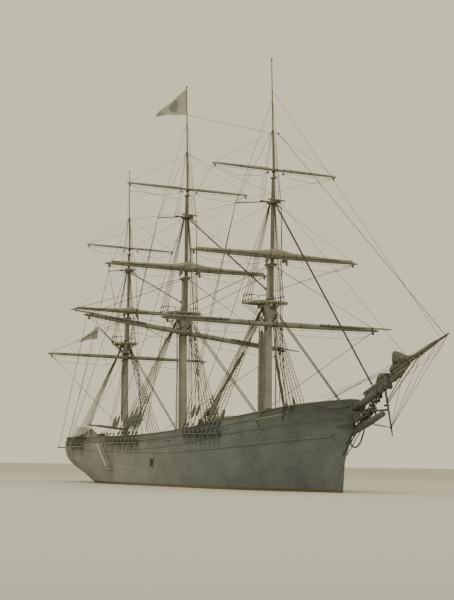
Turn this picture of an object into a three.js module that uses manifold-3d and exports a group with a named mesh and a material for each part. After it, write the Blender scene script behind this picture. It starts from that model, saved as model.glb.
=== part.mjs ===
// Three-masted sailing ship with square sails furled, afloat, at half of its real size.
// Tables and positions are in metres of the real ship: x forward from midships, y to port,
// z up from the water. M turns them into the model's millimetres.
import * as THREE from "three";
import { mergeVertices } from "three/addons/utils/BufferGeometryUtils.js";
import Module from "manifold-3d";

const wasm = await Module();
wasm.setup();

const M = 500; // model millimetres to a real metre, so the scale is 1:2
const GAP = 0.35 / M; // space left between pieces that touch
const CLEAR = 0.5 / M; // space round a pin or a mast inside its collar

const BULWARK = 0.22; // thickness of the hull's raised sides
const WELL_DEPTH = 1.55; // rail top to main deck
const HEAD_DEPTH = 0.75; // rail top to forecastle deck
const POOP_RAIL = 0.65; // rail top to the poop's deck edge
const CAMBER = 0.12; // rise of each deck at the centreline
const POOP_BREAK = -16.9; // forward end of the poop
const HEAD_BREAK = 18.6; // after end of the forecastle
const KEEL_DEPTH = 4.0; // of the keel's underside, below the water
const KEEL_WIDTH = 0.36;
const STERNPOST = -24.5;
const RUDDER_AXIS = -24.72;
const STOCK_RADIUS = 0.2; // of the rudder's stock

// Hull sections: x, bottom z, z of the greatest breadth, half breadth there, half breadth at
// the rail, rail z, hollow (1 is none) and fullness (2 is an ellipse) of the curve below.
const SECTIONS = [
  [-29.3, 4.3, 4.9, 3.2, 3.3, 5.58, 1.0, 5.0],
  [-28.9, 3.65, 4.5, 3.55, 3.55, 5.57, 1.0, 4.0],
  [-28.0, 2.95, 4.2, 3.95, 3.9, 5.56, 1.0, 3.4],
  [-26.5, 2.0, 3.9, 4.5, 4.38, 5.54, 1.0, 2.8],
  [-25.0, 1.15, 3.6, 4.85, 4.7, 5.53, 1.1, 2.4],
  [-22.0, -0.6, 3.1, 5.3, 5.12, 5.51, 1.5, 2.0],
  [-19.0, -1.9, 2.6, 5.5, 5.33, 5.5, 1.5, 2.0],
  [-15.0, -2.9, 2.1, 5.68, 5.5, 5.51, 1.35, 2.2],
  [-10.0, -3.5, 1.6, 5.77, 5.6, 5.55, 1.1, 2.7],
  [-4.0, -3.7, 1.3, 5.79, 5.63, 5.67, 1.0, 3.2],
  [3.0, -3.7, 1.3, 5.79, 5.63, 5.98, 1.0, 3.3],
  [9.0, -3.7, 1.5, 5.76, 5.62, 6.44, 1.0, 3.0],
  [14.0, -3.65, 2.0, 5.6, 5.53, 7.0, 1.05, 2.6],
  [18.0, -3.55, 3.0, 5.05, 5.28, 7.42, 1.1, 2.2],
  [21.5, -3.4, 4.4, 4.1, 4.75, 7.82, 1.15, 1.6],
  [24.5, -3.0, 5.0, 2.55, 3.95, 8.2, 1.2, 1.25],
  [26.5, -1.6, 5.2, 1.25, 3.05, 8.43, 1.4, 1.2],
  [27.7, 2.6, 5.7, 0.75, 2.2, 8.57, 1.2, 1.3],
  [28.6, 4.6, 6.3, 0.45, 1.35, 8.67, 1.1, 1.5],
  [29.3, 5.6, 7.2, 0.22, 0.5, 8.76, 1.0, 1.8],
];

// Masts: name, x at the water, rake, top, lower cap, crosstrees, topmast cap, hounds, truck (all
// z), half width of the top, lower mast radius, how far ahead the topmast stands, extra rake of
// the topgallant mast, and the ends of the backstay spreaders (aft, out).
const MASTS = [
  ["fore", 14.15, 0.005, 19.26, 23.3, 29.9, 32.4, 37.36, 45.33, 2.1, 0.4, 0.52, 0.05, 2.24, 2.86],
  ["main", -3.85, 0.03, 19.7, 23.85, 31.06, 33.5, 38.6, 46.65, 2.1, 0.42, 0.52, 0.025, 1.7, 2.58],
  ["mizzen", -18.72, 0.032, 17.2, 20.4, 26.42, 28.4, 32.93, 38.99, 1.4, 0.33, 0.44, 0.02, 1.3, 1.9],
];

// Yards: name, mast, which spar it swings on, z, half length, radius, distance ahead of the
// spar, brace angle at rest, cant (starboard end up), stunsail boom reach past the end.
const YARDS = [
  ["fore_course_yard", "fore", "lower", 16.85, 12.67, 0.27, 1.15, -3.5, 0, 1.6],
  ["fore_topsail_yard", "fore", "topmast", 23.87, 9.88, 0.22, 0.75, -3.5, 0, 0],
  ["fore_topgallant_yard", "fore", "topgallant", 33.08, 7.44, 0.14, 0.42, -3.5, 0, 0],
  ["main_course_yard", "main", "lower", 17.21, 12.77, 0.28, 1.15, -3.6, 6.6, 1.7],
  ["main_topsail_yard", "main", "topmast", 24.6, 10.36, 0.23, 0.75, -3.6, 0, 0],
  ["main_topgallant_yard", "main", "topgallant", 34.09, 7.8, 0.14, 0.42, -3.6, 0, 0],
  ["crossjack_yard", "mizzen", "lower", 15.3, 10.81, 0.2, 0.95, -1.3, 0, 0],
  ["mizzen_topsail_yard", "mizzen", "topmast", 20.97, 7.61, 0.17, 0.6, -1.3, 0, 0],
  ["mizzen_topgallant_yard", "mizzen", "topgallant", 29.04, 5.98, 0.11, 0.36, -1.3, 0, 0],
];

// Stays: name, upper end (x, z), lower end (x, z), radius.
const STAYS = [
  ["fore_stay", 14.45, 18.95, 27.3, 8.35, 0.05],
  ["fore_topmast_stay", 14.95, 29.6, 32.5, 9.5, 0.045],
  ["fore_topgallant_stay", 15.1, 37.2, 42.6, 13.84, 0.03],
  ["main_stay", -4.0, 19.4, 13.45, 6.6, 0.05],
  ["main_topmast_stay", -3.95, 30.75, 13.75, 20.5, 0.04],
  ["mizzen_stay", -18.9, 16.9, -4.55, 5.4, 0.045],
  ["mizzen_topmast_stay", -18.9, 26.1, -4.9, 20.9, 0.035],
];

const group = new THREE.Group();
const made = {}; // each node's solid, by name

// A closed solid of corner points in metres and triangles of their numbers, faced outwards.
function solid(points, triangles) {
  const build = (t) =>
    new wasm.Manifold(
      new wasm.Mesh({
        numProp: 3,
        vertProperties: Float32Array.from(points.flat(), (v) => v * M),
        triVerts: Uint32Array.from(t.flat()),
      }),
    );
  const first = build(triangles);
  return first.volume() > 0 ? first : build(triangles.map(([a, b, c]) => [a, c, b]));
}

// Triangles that close a flat ring, each with its corners in the ring's own order.
function capOf(ring) {
  const [a, b, c] = [0, 1, 2].map((k) => {
    const v = (i) => new THREE.Vector3(...ring[(i + ring.length) % ring.length]);
    return ring.reduce((sum, _, i) => sum + v(i).cross(v(i + 1)).getComponent(k), 0);
  });
  const drop = [a, b, c].map(Math.abs).reduce((best, v, k, all) => (v > all[best] ? k : best), 0);
  const flat = ring.map((p) => new THREE.Vector2(...p.filter((_, k) => k !== drop)));
  return THREE.ShapeUtils.triangulateShape(flat, []).map((t) => [...t].sort((m, n) => m - n));
}

// A skin carried through rings of equally many points, closed at both ends.
function loft(rings) {
  const n = rings[0].length;
  const triangles = [];
  for (let r = 0; r + 1 < rings.length; r++)
    for (let i = 0; i < n; i++) {
      const a = r * n + i;
      const b = r * n + ((i + 1) % n);
      triangles.push([a, b, b + n], [a, b + n, a + n]);
    }
  const end = (rings.length - 1) * n;
  for (const [i, j, k] of capOf(rings[0])) triangles.push([k, j, i]);
  for (const [i, j, k] of capOf(rings[rings.length - 1])) triangles.push([i + end, j + end, k + end]);
  return solid(rings.flat(), triangles);
}

// A round spar: rows of x, y, z and radius, on a straight or gently bent line.
function spar(rows, sides = 10) {
  const ends = [rows[0], rows[rows.length - 1]].map((p) => new THREE.Vector3(p[0], p[1], p[2]));
  const along = ends[1].clone().sub(ends[0]).normalize();
  const guide = new THREE.Vector3(0, 0, 1);
  if (Math.abs(along.z) > 0.8) guide.set(1, 0, 0);
  const u = guide.clone().sub(along.clone().multiplyScalar(guide.dot(along))).normalize();
  const v = along.clone().cross(u);
  return loft(
    rows.map(([x, y, z, r]) =>
      Array.from({ length: sides }, (_, i) => {
        const t = ((i + 0.5) * 2 * Math.PI) / sides;
        const [c, s] = [r * Math.cos(t), r * Math.sin(t)];
        return [x + u.x * c + v.x * s, y + u.y * c + v.y * s, z + u.z * c + v.z * s];
      }),
    ),
  );
}

// A block between two rectangles: x0, x1, y0, y1 at z0, and the same four at z1.
function block(low, z0, high, z1) {
  const ring = ([x0, x1, y0, y1], z) => [[x0, y0, z], [x1, y0, z], [x1, y1, z], [x0, y1, z]];
  return loft([ring(low, z0), ring(high, z1)]);
}
const box = (x0, x1, y0, y1, z0, z1) => block([x0, x1, y0, y1], z0, [x0, x1, y0, y1], z1);

// A flat bar of the given width (y) and depth between two points.
function bar(a, b, width, depth) {
  const d = new THREE.Vector3(b[0] - a[0], b[1] - a[1], b[2] - a[2]).normalize();
  const up = new THREE.Vector3(0, 0, 1);
  if (Math.abs(d.z) > 0.9) up.set(1, 0, 0);
  const side = d.clone().cross(up).normalize().multiplyScalar(width / 2);
  const rise = side.clone().cross(d).normalize().multiplyScalar(depth / 2);
  const ring = (p) =>
    [[1, 1], [-1, 1], [-1, -1], [1, -1]].map(([s, t]) => [
      p[0] + side.x * s + rise.x * t,
      p[1] + side.y * s + rise.y * t,
      p[2] + side.z * s + rise.z * t,
    ]);
  return loft([ring(a), ring(b)]);
}

// A plate cut to an outline in x and z, its thickness centred on y.
function profile(outline, thickness) {
  const shape = new THREE.Shape(outline.map(([x, z]) => new THREE.Vector2(x, z)));
  const g = new THREE.ExtrudeGeometry(shape, { depth: thickness, bevelEnabled: false });
  g.deleteAttribute("normal");
  g.deleteAttribute("uv");
  g.translate(0, 0, -thickness / 2).rotateX(Math.PI / 2).scale(M, M, M);
  const m = mergeVertices(g, 1e-3);
  return new wasm.Manifold(
    new wasm.Mesh({
      numProp: 3,
      vertProperties: m.attributes.position.array,
      triVerts: new Uint32Array(m.index.array),
    }),
  );
}

const join = (...pieces) => pieces.reduce((a, b) => a.add(b));
const cut = (a, ...tools) => tools.reduce((s, t) => s.subtract(t), a);
const moved = (s, x, y, z) => s.translate([x * M, y * M, z * M]);
const mirrored = (s) => s.mirror([0, 1, 0]);

function node(name, s, color) {
  const mesh = s.getMesh();
  const n = mesh.numProp;
  const position = new Float32Array(mesh.numVert * 3);
  for (let i = 0; i < mesh.numVert; i++)
    position.set(mesh.vertProperties.subarray(i * n, i * n + 3), i * 3);
  const g = new THREE.BufferGeometry();
  g.setAttribute("position", new THREE.BufferAttribute(position, 3));
  g.setIndex(new THREE.BufferAttribute(new Uint32Array(mesh.triVerts), 1));
  g.computeVertexNormals();
  const part = new THREE.Mesh(g, new THREE.MeshStandardMaterial({ color, roughness: 0.7 }));
  part.name = name;
  group.add(part);
  made[name] = s;
  return s;
}

// The row of SECTIONS at any x, by a curve through the rows without overshoot.
function sectionAt(x) {
  const last = SECTIONS.length - 2;
  let i = SECTIONS.findIndex((row) => row[0] > x) - 1;
  i = i < -1 ? last : Math.min(Math.max(i, 0), last);
  const [p0, p1, p2, p3] = [i - 1, i, i + 1, i + 2].map(
    (k) => SECTIONS[Math.min(Math.max(k, 0), SECTIONS.length - 1)],
  );
  const h = p2[0] - p1[0];
  const t = Math.min(Math.max((x - p1[0]) / h, 0), 1);
  return p1.map((_, c) => {
    if (c === 0) return x;
    const slope = (a, b) => (b[0] === a[0] ? 0 : (b[c] - a[c]) / (b[0] - a[0]));
    const here = slope(p1, p2);
    const limit = (s) => (s * here <= 0 ? 0 : Math.sign(s) * Math.min(Math.abs(s), 3 * Math.abs(here)));
    const m1 = limit((slope(p0, p1) + here) / 2) * h;
    const m2 = limit((slope(p2, p3) + here) / 2) * h;
    const [t2, t3] = [t * t, t * t * t];
    return (
      p1[c] * (2 * t3 - 3 * t2 + 1) + m1 * (t3 - 2 * t2 + t) + p2[c] * (3 * t2 - 2 * t3) + m2 * (t3 - t2)
    );
  });
}
const railZ = (x) => sectionAt(x)[5];
const railHalf = (x) => sectionAt(x)[4];

// Half breadth of the hull at x and z.
function halfAt(x, z) {
  const [, low, wide, half, top, rail, hollow, full] = sectionAt(x);
  if (z >= wide) return half + (top - half) * Math.min((z - wide) / (rail - wide), 1) ** 1.5;
  const u = Math.max((z - low) / (wide - low), 0);
  return half * (1 - (1 - u ** hollow) ** full) ** (1 / full);
}

function hullRing(x) {
  const [, low, wide, , , rail] = sectionAt(x);
  const heights = [];
  for (let k = 1; k <= 7; k++) heights.push(low + (wide - low) * (k / 7) ** 2);
  for (let k = 1; k <= 3; k++) heights.push(wide + (rail - wide) * (k / 3));
  const port = heights.map((z) => [x, halfAt(x, z), z]);
  return [[x, 0, low], ...port, ...port.map(([a, y, z]) => [a, -y, z]).reverse()];
}

// What is taken away above a deck: from x0 to x1, inset from the rail, down to depth below it.
function above(x0, x1, inset, depth, camber) {
  const rings = [];
  const steps = Math.max(4, Math.round((x1 - x0) / 2.2));
  for (let k = 0; k <= steps; k++) {
    const x = x0 + ((x1 - x0) * k) / steps;
    const floor = railZ(x) - depth;
    const y = Math.max(Math.min(halfAt(x, floor), railHalf(x)) - inset, 0.08);
    rings.push([[x, -y, 12], [x, -y, floor], [x, 0, floor + camber], [x, y, floor], [x, y, 12]]);
  }
  return loft(rings);
}

// Keel, stem and the knee that stands out from it, as one outline of x and z.
const KNEE = [
  [STERNPOST, -KEEL_DEPTH], [22.5, -KEEL_DEPTH], [24.6, -3.75], [26.0, -2.95], [26.9, -1.6],
  [27.35, 0.0], [27.5, 1.5], [27.68, 3.5], [28.0, 4.45], [28.5, 5.1], [29.4, 5.5], [31.3, 6.1],
  [32.6, 6.6], [33.9, 7.12], [34.0, 7.35], [33.7, 7.5], [32.15, 7.02], [30.5, 6.45], [29.1, 5.9],
  [28.2, 5.7], [27.2, 4.0], [26.0, 0.0], [24.0, -2.6], [20.0, -3.2], [-8.0, -3.2],
  [-14.0, -2.5], [-19.0, -1.2], [-22.5, 0.4], [-23.6, 1.4], [STERNPOST, 1.5],
];

// The bowsprit's line: x, z and radius; it grows by the space that its hole needs.
const bowspritRows = (more) => [
  [26.9 - more, 0, 6.95, 0.36 + more], [29.3, 0, 7.8, 0.38 + more], [32.0, 0, 8.88, 0.34 + more],
  [34.75 + more, 0, 9.97, 0.27 + more],
];
const jibboomRows = (more) => [
  [30.9 - more, 0, 9.19, 0.19 + more], [34.6, 0, 10.63, 0.19 + more],
  [39.0, 0, 12.35, 0.15 + more], [43.1, 0, 13.95, 0.07 + more],
];

// Hull, with its channels, catheads and bumpkins.
const stations = [-29.3, -29.1, -28.9, -28.5, -28.0, -27.2, -26.5, -25.7, -25.0, -24.0, -23.0];
for (let x = -22; x < 20; x += 2.8) stations.push(x);
stations.push(21, 22.5, 23.8, 24.8, 25.7, 26.4, 27.0, 27.4, 27.8, 28.2, 28.6, 29.0, 29.3);
let hull = join(loft(stations.map(hullRing)), profile(KNEE, KEEL_WIDTH));
hull = cut(
  hull,
  above(POOP_BREAK, HEAD_BREAK, BULWARK, WELL_DEPTH, CAMBER),
  above(HEAD_BREAK - 0.02, 28.2, BULWARK, HEAD_DEPTH, CAMBER / 2),
  above(-29.6, POOP_BREAK + 0.02, -1.0, POOP_RAIL, 0),
);
// Channels: x of the after and forward ends, z, how far they stand out.
const CHANNELS = [
  [9.2, 14.2, 5.6, 0.45],
  [-9.6, -4.0, 4.75, 0.45],
  [-23.4, -19.0, 4.3, 0.4],
];
for (const [x0, x1, z, out] of CHANNELS) {
  const rings = [];
  for (let k = 0; k <= 3; k++) {
    const x = x0 + ((x1 - x0) * k) / 3;
    const y = halfAt(x, z);
    const [inner, outer, low, high] = [y - 0.12, y + out, z - 0.05, z + 0.05];
    rings.push([[x, inner, low], [x, outer, low], [x, outer, high], [x, inner, high]]);
  }
  const channel = loft(rings);
  hull = join(hull, channel, mirrored(channel));
}
const cathead = bar([23.6, 3.2, 7.6], [25.6, 5.35, 8.15], 0.34, 0.36);
const bumpkin = bar([-25.6, 4.3, 4.2], [-26.6, 5.6, 4.25], 0.16, 0.16);
hull = join(hull, cathead, mirrored(cathead), bumpkin, mirrored(bumpkin));
// The radius to give a hole of so many sides, for its flats to clear a round of radius r.
const holeRadius = (r, sides) => (r + CLEAR) / Math.cos(Math.PI / sides);
const stock = (z0, z1, r, sides = 16) => spar([z0, z1].map((z) => [RUDDER_AXIS, 0, z, r]), sides);
hull = cut(
  hull,
  stock(-4.5, 0.9, STOCK_RADIUS + 0.02),
  stock(0, 2.3, holeRadius(STOCK_RADIUS, 18), 18),
  spar(bowspritRows(GAP), 12),
);
node("hull", hull, 0x3a3b33);

const RUDDER = [
  [RUDDER_AXIS, -3.9], [-26.1, -3.85], [-26.2, -3.2], [-25.95, -1.6], [-25.5, 0.1],
  [-25.4, 0.75], [RUDDER_AXIS, 0.45],
];
node("rudder", join(profile(RUDDER, 0.2), stock(-3.9, 2.2, STOCK_RADIUS)), 0x4a4032);

// What stands on the hull is made a little deep and cut by the hull lifted by the gap.
const bed = moved(hull, 0, 0, GAP);
const onHull = (s) => cut(s, bed);

// Poop rail: a cap carried round the stern on stanchions.
const railPath = [];
for (let x = POOP_BREAK - 0.25; x > -28.6; x -= 1.95) railPath.push([x, railHalf(x) - 0.14]);
railPath.push([-28.6, railHalf(-28.6) - 0.14], [-29.1, 2.95]);
const aroundStern = [...railPath, ...railPath.map(([x, y]) => [x, -y]).reverse()];
function capRail(path, width, z0, z1) {
  const rings = path.map(([x, y], i) => {
    const a = path[Math.max(i - 1, 0)];
    const b = path[Math.min(i + 1, path.length - 1)];
    const [dx, dy] = [b[0] - a[0], b[1] - a[1]];
    const half = width / 2 / Math.hypot(dx, dy);
    const [nx, ny] = [-dy * half, dx * half];
    const [low, high] = [railZ(x) + z0, railZ(x) + z1];
    return [
      [x + nx, y + ny, low], [x - nx, y - ny, low],
      [x - nx, y - ny, high], [x + nx, y + ny, high],
    ];
  });
  return loft(rings);
}
let poopRail = capRail(aroundStern, 0.2, -0.1, 0);
const POST = 0.055; // half width of a stanchion
for (const [x, y] of aroundStern) {
  const top = railZ(x) - 0.05;
  poopRail = join(poopRail, box(x - POST, x + POST, y - POST, y + POST, top - 0.75, top));
}
node("poop_rail", onHull(poopRail), 0x8a8468);

// Masts: each spar has its own raked frame with its origin on its axis at the water.
function frame(x, rake) {
  return new THREE.Matrix4()
    .makeTranslation(x * M, 0, 0)
    .multiply(new THREE.Matrix4().makeRotationY(-Math.atan(rake)));
}
const into = (s, matrix) => s.transform([...matrix.elements]);
const upright = (rows, sides) => spar(rows.map(([z, r]) => [0, 0, z, r]), sides);

const spars = {}; // the frame and the seat radius of each mast's three spars, by mast and spar
for (const row of MASTS) {
  const [name, x, rake, top, cap, trees, topCap, hounds, truck, half, r] = row;
  const [ahead, extra, aft, out] = row.slice(11);
  const seats = YARDS.filter((yard) => yard[1] === name);
  const [course, topsail, topgallant] = seats.map((yard) => yard[3]);
  const lower = frame(x, rake);
  const topmast = frame(x + ahead, rake);
  const tgAhead = ahead + (name === "mizzen" ? 0.24 : 0.3);
  const tg = frame(x + tgAhead + extra * trees, rake + extra);
  const [rl, rt, rg] = [r * 0.84, r * 0.52, r * 0.3];
  const grow = (rows, more) => rows.map(([z, q], i) => [z + (i ? more : -more), q + more]);
  const topRows = [
    [top - 0.75, rt], [top + 0.5, rt], [topsail - 0.35, rt], [topsail + 0.35, rt],
    [trees, rt * 0.86], [topCap, rt * 0.6],
  ];
  const tgRows = [
    [trees - 0.45, rg], [topgallant - 0.3, rg], [topgallant + 0.3, rg], [hounds, rg * 0.85],
    [hounds + 0.1, rg * 0.7], [truck - 0.12, rg * 0.4], [truck - 0.1, rg * 1.1], [truck, rg * 0.9],
  ];
  const foot = name === "mizzen" ? 4.5 : name === "main" ? 3.6 : 5.0;
  const lowerMast = upright(
    [
      [foot, r * 1.12], [foot + 1.2, r * 1.12], [foot + 1.5, r], [foot + 3.5, r],
      [course - 0.4, rl], [course + 1.1, rl], [top - 1.0, rl * 0.98], [cap, rl * 0.72],
    ],
    12,
  );
  // The top: a platform with a straight after edge and a rounded fore edge, on its trestletrees.
  const [back, front] = [-half, half * 0.6];
  const edge = [
    [back, half], [front * 0.35, half], [front * 0.8, half * 0.72], [front, half * 0.3],
  ];
  const round = [...edge.map(([a, b]) => [a, -b]), ...edge.reverse()];
  const rim = (z, s) => round.map(([a, b]) => [a * s, b * s, z]);
  const platform = loft([rim(top - 0.12, 0.97), rim(top, 1)]);
  const trestles = [-1, 1].map((s) =>
    box(back * 0.8, front * 0.85, s * 0.34 - 0.08, s * 0.34 + 0.08, top - 0.55, top - 0.1),
  );
  // The cheeks under it; on the mizzen they stop above the gaff's ring.
  const cheeks = name === "mizzen"
    ? block([-rl, rl * 1.2, -rl * 1.15, rl * 1.15], top - 1.0,
      [-rl, ahead + rt, -rl * 1.25, rl * 1.25], top - 0.5)
    : block([-rl, rl, -rl * 1.05, rl * 1.05], top - 1.7,
      [-rl * 2.2, ahead + rt, -0.75, 0.75], top - 0.3);
  const lowerCap = box(-rl * 1.1, ahead + rt * 1.7, -rl * 1.1, rl * 1.1, cap - 0.3, cap);
  const heel = into(upright(grow(topRows, GAP), 12), topmast);
  node(
    name + "_lower_mast",
    onHull(cut(into(join(lowerMast, platform, ...trestles, cheeks, lowerCap), lower), heel)),
    0x8f8a76,
  );
  // Crosstrees with the two long spreaders that hold the backstays off.
  const k = name === "mizzen" ? 0.75 : 1;
  const beam = (x0, x1, y0, y1, z0, z1) =>
    box(x0 * k, x1 * k, y0 * k, y1 * k, trees + z0, trees + z1);
  const spreader = (side) =>
    bar([0, side * 0.2, trees - 0.1], [-aft - ahead, side * out, trees - 0.1], 0.14, 0.1);
  const treesSolid = join(
    beam(-0.7, 1.05, -0.36, -0.22, -0.3, -0.05),
    beam(-0.7, 1.05, 0.22, 0.36, -0.3, -0.05),
    beam(-0.55, -0.4, -1.25, 1.25, -0.12, 0.02),
    beam(0.7, 0.85, -1.05, 1.05, -0.12, 0.02),
    beam(-0.5, 0.75, -0.3, 0.3, -0.34, -0.06),
    spreader(1),
    spreader(-1),
  );
  const capHalf = rt * 0.9;
  const smallCap = box(
    -capHalf, tgAhead - ahead + rg * 1.8, -capHalf, capHalf, topCap - 0.2, topCap,
  );
  const tgHeel = into(upright(grow(tgRows.slice(0, 4), GAP), 10), tg);
  const topmastSolid = into(join(upright(topRows, 12), treesSolid, smallCap), topmast);
  node(name + "_topmast", cut(topmastSolid, tgHeel), 0x7d7660);
  node(name + "_topgallant_mast", into(upright(tgRows, 10), tg), 0x6e6650);
  spars[name] = {
    lower: [lower, rl, 12], topmast: [topmast, rt, 12], topgallant: [tg, rg, 10],
  };
}

// The tool that clears a mast's seat out of what swings on it.
const throughHole = (z, reach, r) =>
  upright([z - reach, z + reach].map((level) => [level, holeRadius(r, 14)]), 14);

// A ring round a mast's seat: the inner flats clear the mast's corners all the way round.
function collar(z, r, wall, height) {
  return cut(
    upright([[z - height / 2, r + wall], [z + height / 2, r + wall]], 14),
    throughHole(z, height, r),
  );
}

// A yard's taper and a furled sail's swell: share of the half length, share of the radius.
const bothEnds = (rows) => [...rows, ...rows.filter(([s]) => s).reverse().map(([s, q]) => [-s, q])];
const TAPER = bothEnds([[-1, 0.42], [-0.78, 0.66], [-0.5, 0.86], [-0.22, 0.98]]);
const BUNT = bothEnds([[-0.93, 0.38], [-0.6, 0.5], [-0.36, 0.7], [-0.17, 1.0], [0, 2.0]]);

// Yards. The spar lies across, tapered to both ends; the arm and collar hold it to the mast.
function yardSolid(row, more) {
  const [, , , z, half, r, off, , cant, boom] = row;
  const pieces = [spar(TAPER.map(([s, q]) => [off, s * half, z, r * q + more]), 10)];
  if (boom)
    for (const side of [-1, 1]) {
      const [x, zb] = [off + r * 0.9, z + r * 1.25];
      const boomRows = [[half * 0.42, 0.1], [half * 0.95, 0.1], [half + boom, 0.06]];
      pieces.push(
        spar(boomRows.map(([y, q]) => [x, side * y, zb, q + more]), 8),
        bar([off, side * half * 0.5, z], [x, side * half * 0.5, zb], 0.12, 0.12),
        bar([off, side * half * 0.93, z], [x, side * half * 0.93, zb], 0.12, 0.12),
      );
    }
  const turn = new THREE.Matrix4()
    .makeTranslation(0, 0, z * M)
    .multiply(new THREE.Matrix4().makeRotationX(-THREE.MathUtils.degToRad(cant)))
    .multiply(new THREE.Matrix4().makeTranslation(0, 0, -z * M));
  return into(join(...pieces), turn);
}
for (const row of YARDS) {
  const [name, mast, on, z, , r, off, brace] = row;
  const [place, seat] = spars[mast][on];
  const swing = new THREE.Matrix4().makeRotationZ(THREE.MathUtils.degToRad(brace));
  const whole = place.clone().multiply(swing);
  const arm = box(seat + 0.03, off, -r * 0.45, r * 0.45, z - r * 0.4, z + r * 0.4);
  const yard = join(yardSolid(row, 0), arm, collar(z, seat, 0.09, 0.3));
  node(name, into(yard, whole), 0x554e3e);
  if (on === "topmast") {
    // The furled topsail: a thin roll on the fore side of the yard, gathered to a peak amidships.
    const size = r * 1.15;
    const swell = ([s, q]) => [off + r * 0.9, s * row[4], z + r * 0.8 + size * q * 0.45, size * q];
    const mastRoom = upright([z - 3, z + 3].map((level) => [level, seat * 1.25]), 12);
    const roll = cut(spar(BUNT.map(swell), 10), yardSolid(row, GAP), mastRoom);
    node(mast + "_topsail_furled", into(roll, whole), 0x77725c);
  }
}

// Spanker boom and gaff swing on the mizzen mast: level and seat radius of each one's ring, its
// wall and height, then the spar's rows as distance aft, rise and radius.
const SPANKER = [
  ["spanker_boom", 6.55, 0.33, 0.1, 0.26,
    [[0.4, 0, 0.13], [3, 0.3, 0.17], [7, 0.7, 0.16], [10.9, 1.05, 0.09]]],
  ["spanker_gaff", 15.86, spars.mizzen.lower[1], 0.08, 0.24,
    [[0.32, 0, 0.1], [3, 1.45, 0.13], [8.35, 4.35, 0.06]]],
];
for (const [name, z, seat, wall, height, rows] of SPANKER) {
  const swung = join(
    spar(rows.map(([aft, rise, r]) => [-aft, 0, z + rise, r]), 10),
    collar(z, seat, wall, height),
  );
  node(name, into(cut(swung, throughHole(z, 0.5, seat)), spars.mizzen.lower[0]), 0x6e6650);
}

// Bowsprit with its cap, jibboom and dolphin striker.
const jibHole = spar(jibboomRows(GAP), 12);
const bowCap = block([34.3, 34.75, -0.36, 0.36], 9.5, [34.3, 34.75, -0.36, 0.36], 10.95);
const saddle = box(31.2, 31.5, -0.25, 0.25, 8.7, 9.42);
const bowsprit = node("bowsprit", cut(join(spar(bowspritRows(0), 12), bowCap, saddle), jibHole), 0x77725e);
node("jibboom", spar(jibboomRows(0), 12), 0x6e6650);
const aboveBowsprit = spar([[20, 0, 4.4, 0.3], [40, 0, 12.2, 0.3]], 12);
const striker = spar([[34.05, 0, 9.7, 0.11], [35.3, 0, 4.8, 0.06]], 8);
node("dolphin_striker", cut(striker, moved(bowsprit, 0, 0, -GAP), aboveBowsprit), 0x554e3e);

// A piece cut by another that it touches, with the gap left on every side.
const NEAR = [[GAP, 0, 0], [-GAP, 0, 0], [0, GAP, 0], [0, -GAP, 0], [0, 0, GAP], [0, 0, -GAP]];
const clearOfPiece = (s, other) => cut(s, ...NEAR.map(([x, y, z]) => moved(other, x, y, z)));
const largest = (s) => s.decompose().sort((a, b) => b.volume() - a.volume())[0];

// Stays: straight, each cut by the pieces at its ends with the gap between them.
for (const [name, x0, z0, x1, z1, r] of STAYS) {
  let stay = spar([[x0, 0, z0, r], [x1, 0, z1, r]], 8);
  for (const [other, s] of Object.entries(made))
    if (!other.includes("yard") && !other.includes("spanker") && stay.intersect(s).volume() > 0)
      stay = largest(clearOfPiece(stay, s));
  node(name, stay, 0x504b3e);
}

// Deck furniture, each cut to sit on the cambered deck.
const deckAt = (x) => railZ(x) - WELL_DEPTH;
const hatch = (x0, x1, half, height) =>
  onHull(box(x0, x1, -half, half, deckAt((x0 + x1) / 2) - 0.3, deckAt((x0 + x1) / 2) + height));
node("fore_hatch", hatch(15.9, 17.4, 0.9, 0.6), 0x8a7f68);
node("main_hatch", hatch(0.4, 4.2, 1.5, 0.55), 0x8a7f68);
node("after_hatch", hatch(-11.6, -9.4, 1.2, 0.5), 0x8a7f68);
const HOUSE = { x0: 6.6, x1: 11.6, half: 2.35, roof: 7.42, eaves: 0.2 };
const houseBox = (more, z0, z1) =>
  box(HOUSE.x0 - more, HOUSE.x1 + more, -HOUSE.half - more, HOUSE.half + more, z0, z1);
node(
  "deckhouse",
  onHull(join(
    houseBox(0, 4.6, HOUSE.roof - 0.05),
    houseBox(HOUSE.eaves, HOUSE.roof - 0.1, HOUSE.roof + 0.08),
  )),
  0xb9b5a2,
);
node(
  "poop_skylight",
  onHull(block([-22.2, -20.6, -0.8, 0.8], 4.5, [-22.0, -20.8, -0.3, 0.3], 5.7)),
  0x8a7f68,
);

// Capstan on the forecastle: a spindle in a hole of its base plate, and the drum turning on it.
const SPINDLE_HOLE = (0.1 + 0.3 / M) / Math.cos(Math.PI / 20);
const CAPSTAN = [23.4, railZ(23.4) - HEAD_DEPTH + CAMBER / 2];
const lathe = (rows, sides) => {
  const g = new THREE.LatheGeometry(rows.map(([r, z]) => new THREE.Vector2(r * M, z * M)), sides);
  g.deleteAttribute("normal");
  g.deleteAttribute("uv");
  g.rotateX(Math.PI / 2);
  const m = mergeVertices(g, 1e-3);
  const [vertProperties, t] = [m.attributes.position.array, new Uint32Array(m.index.array)];
  const build = (triVerts) => new wasm.Manifold(new wasm.Mesh({ numProp: 3, vertProperties, triVerts }));
  const first = build(t);
  return first.volume() > 0 ? first : build(t.map((_, i) => t[i - (i % 3) + [0, 2, 1][i % 3]]));
};
const [cx, cz] = CAPSTAN;
const baseRows = [[0, -0.4], [0.55, -0.4], [0.55, 0.1], [0.1, 0.1], [0.1, 0.75], [0, 0.75]];
const drumRows = [
  [0, 0.112], [0.42, 0.112], [0.42, 0.2], [0.27, 0.35], [0.24, 0.75], [0.4, 0.85], [0.4, 1.0],
  [0.3, 1.08], [0, 1.08],
];
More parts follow.
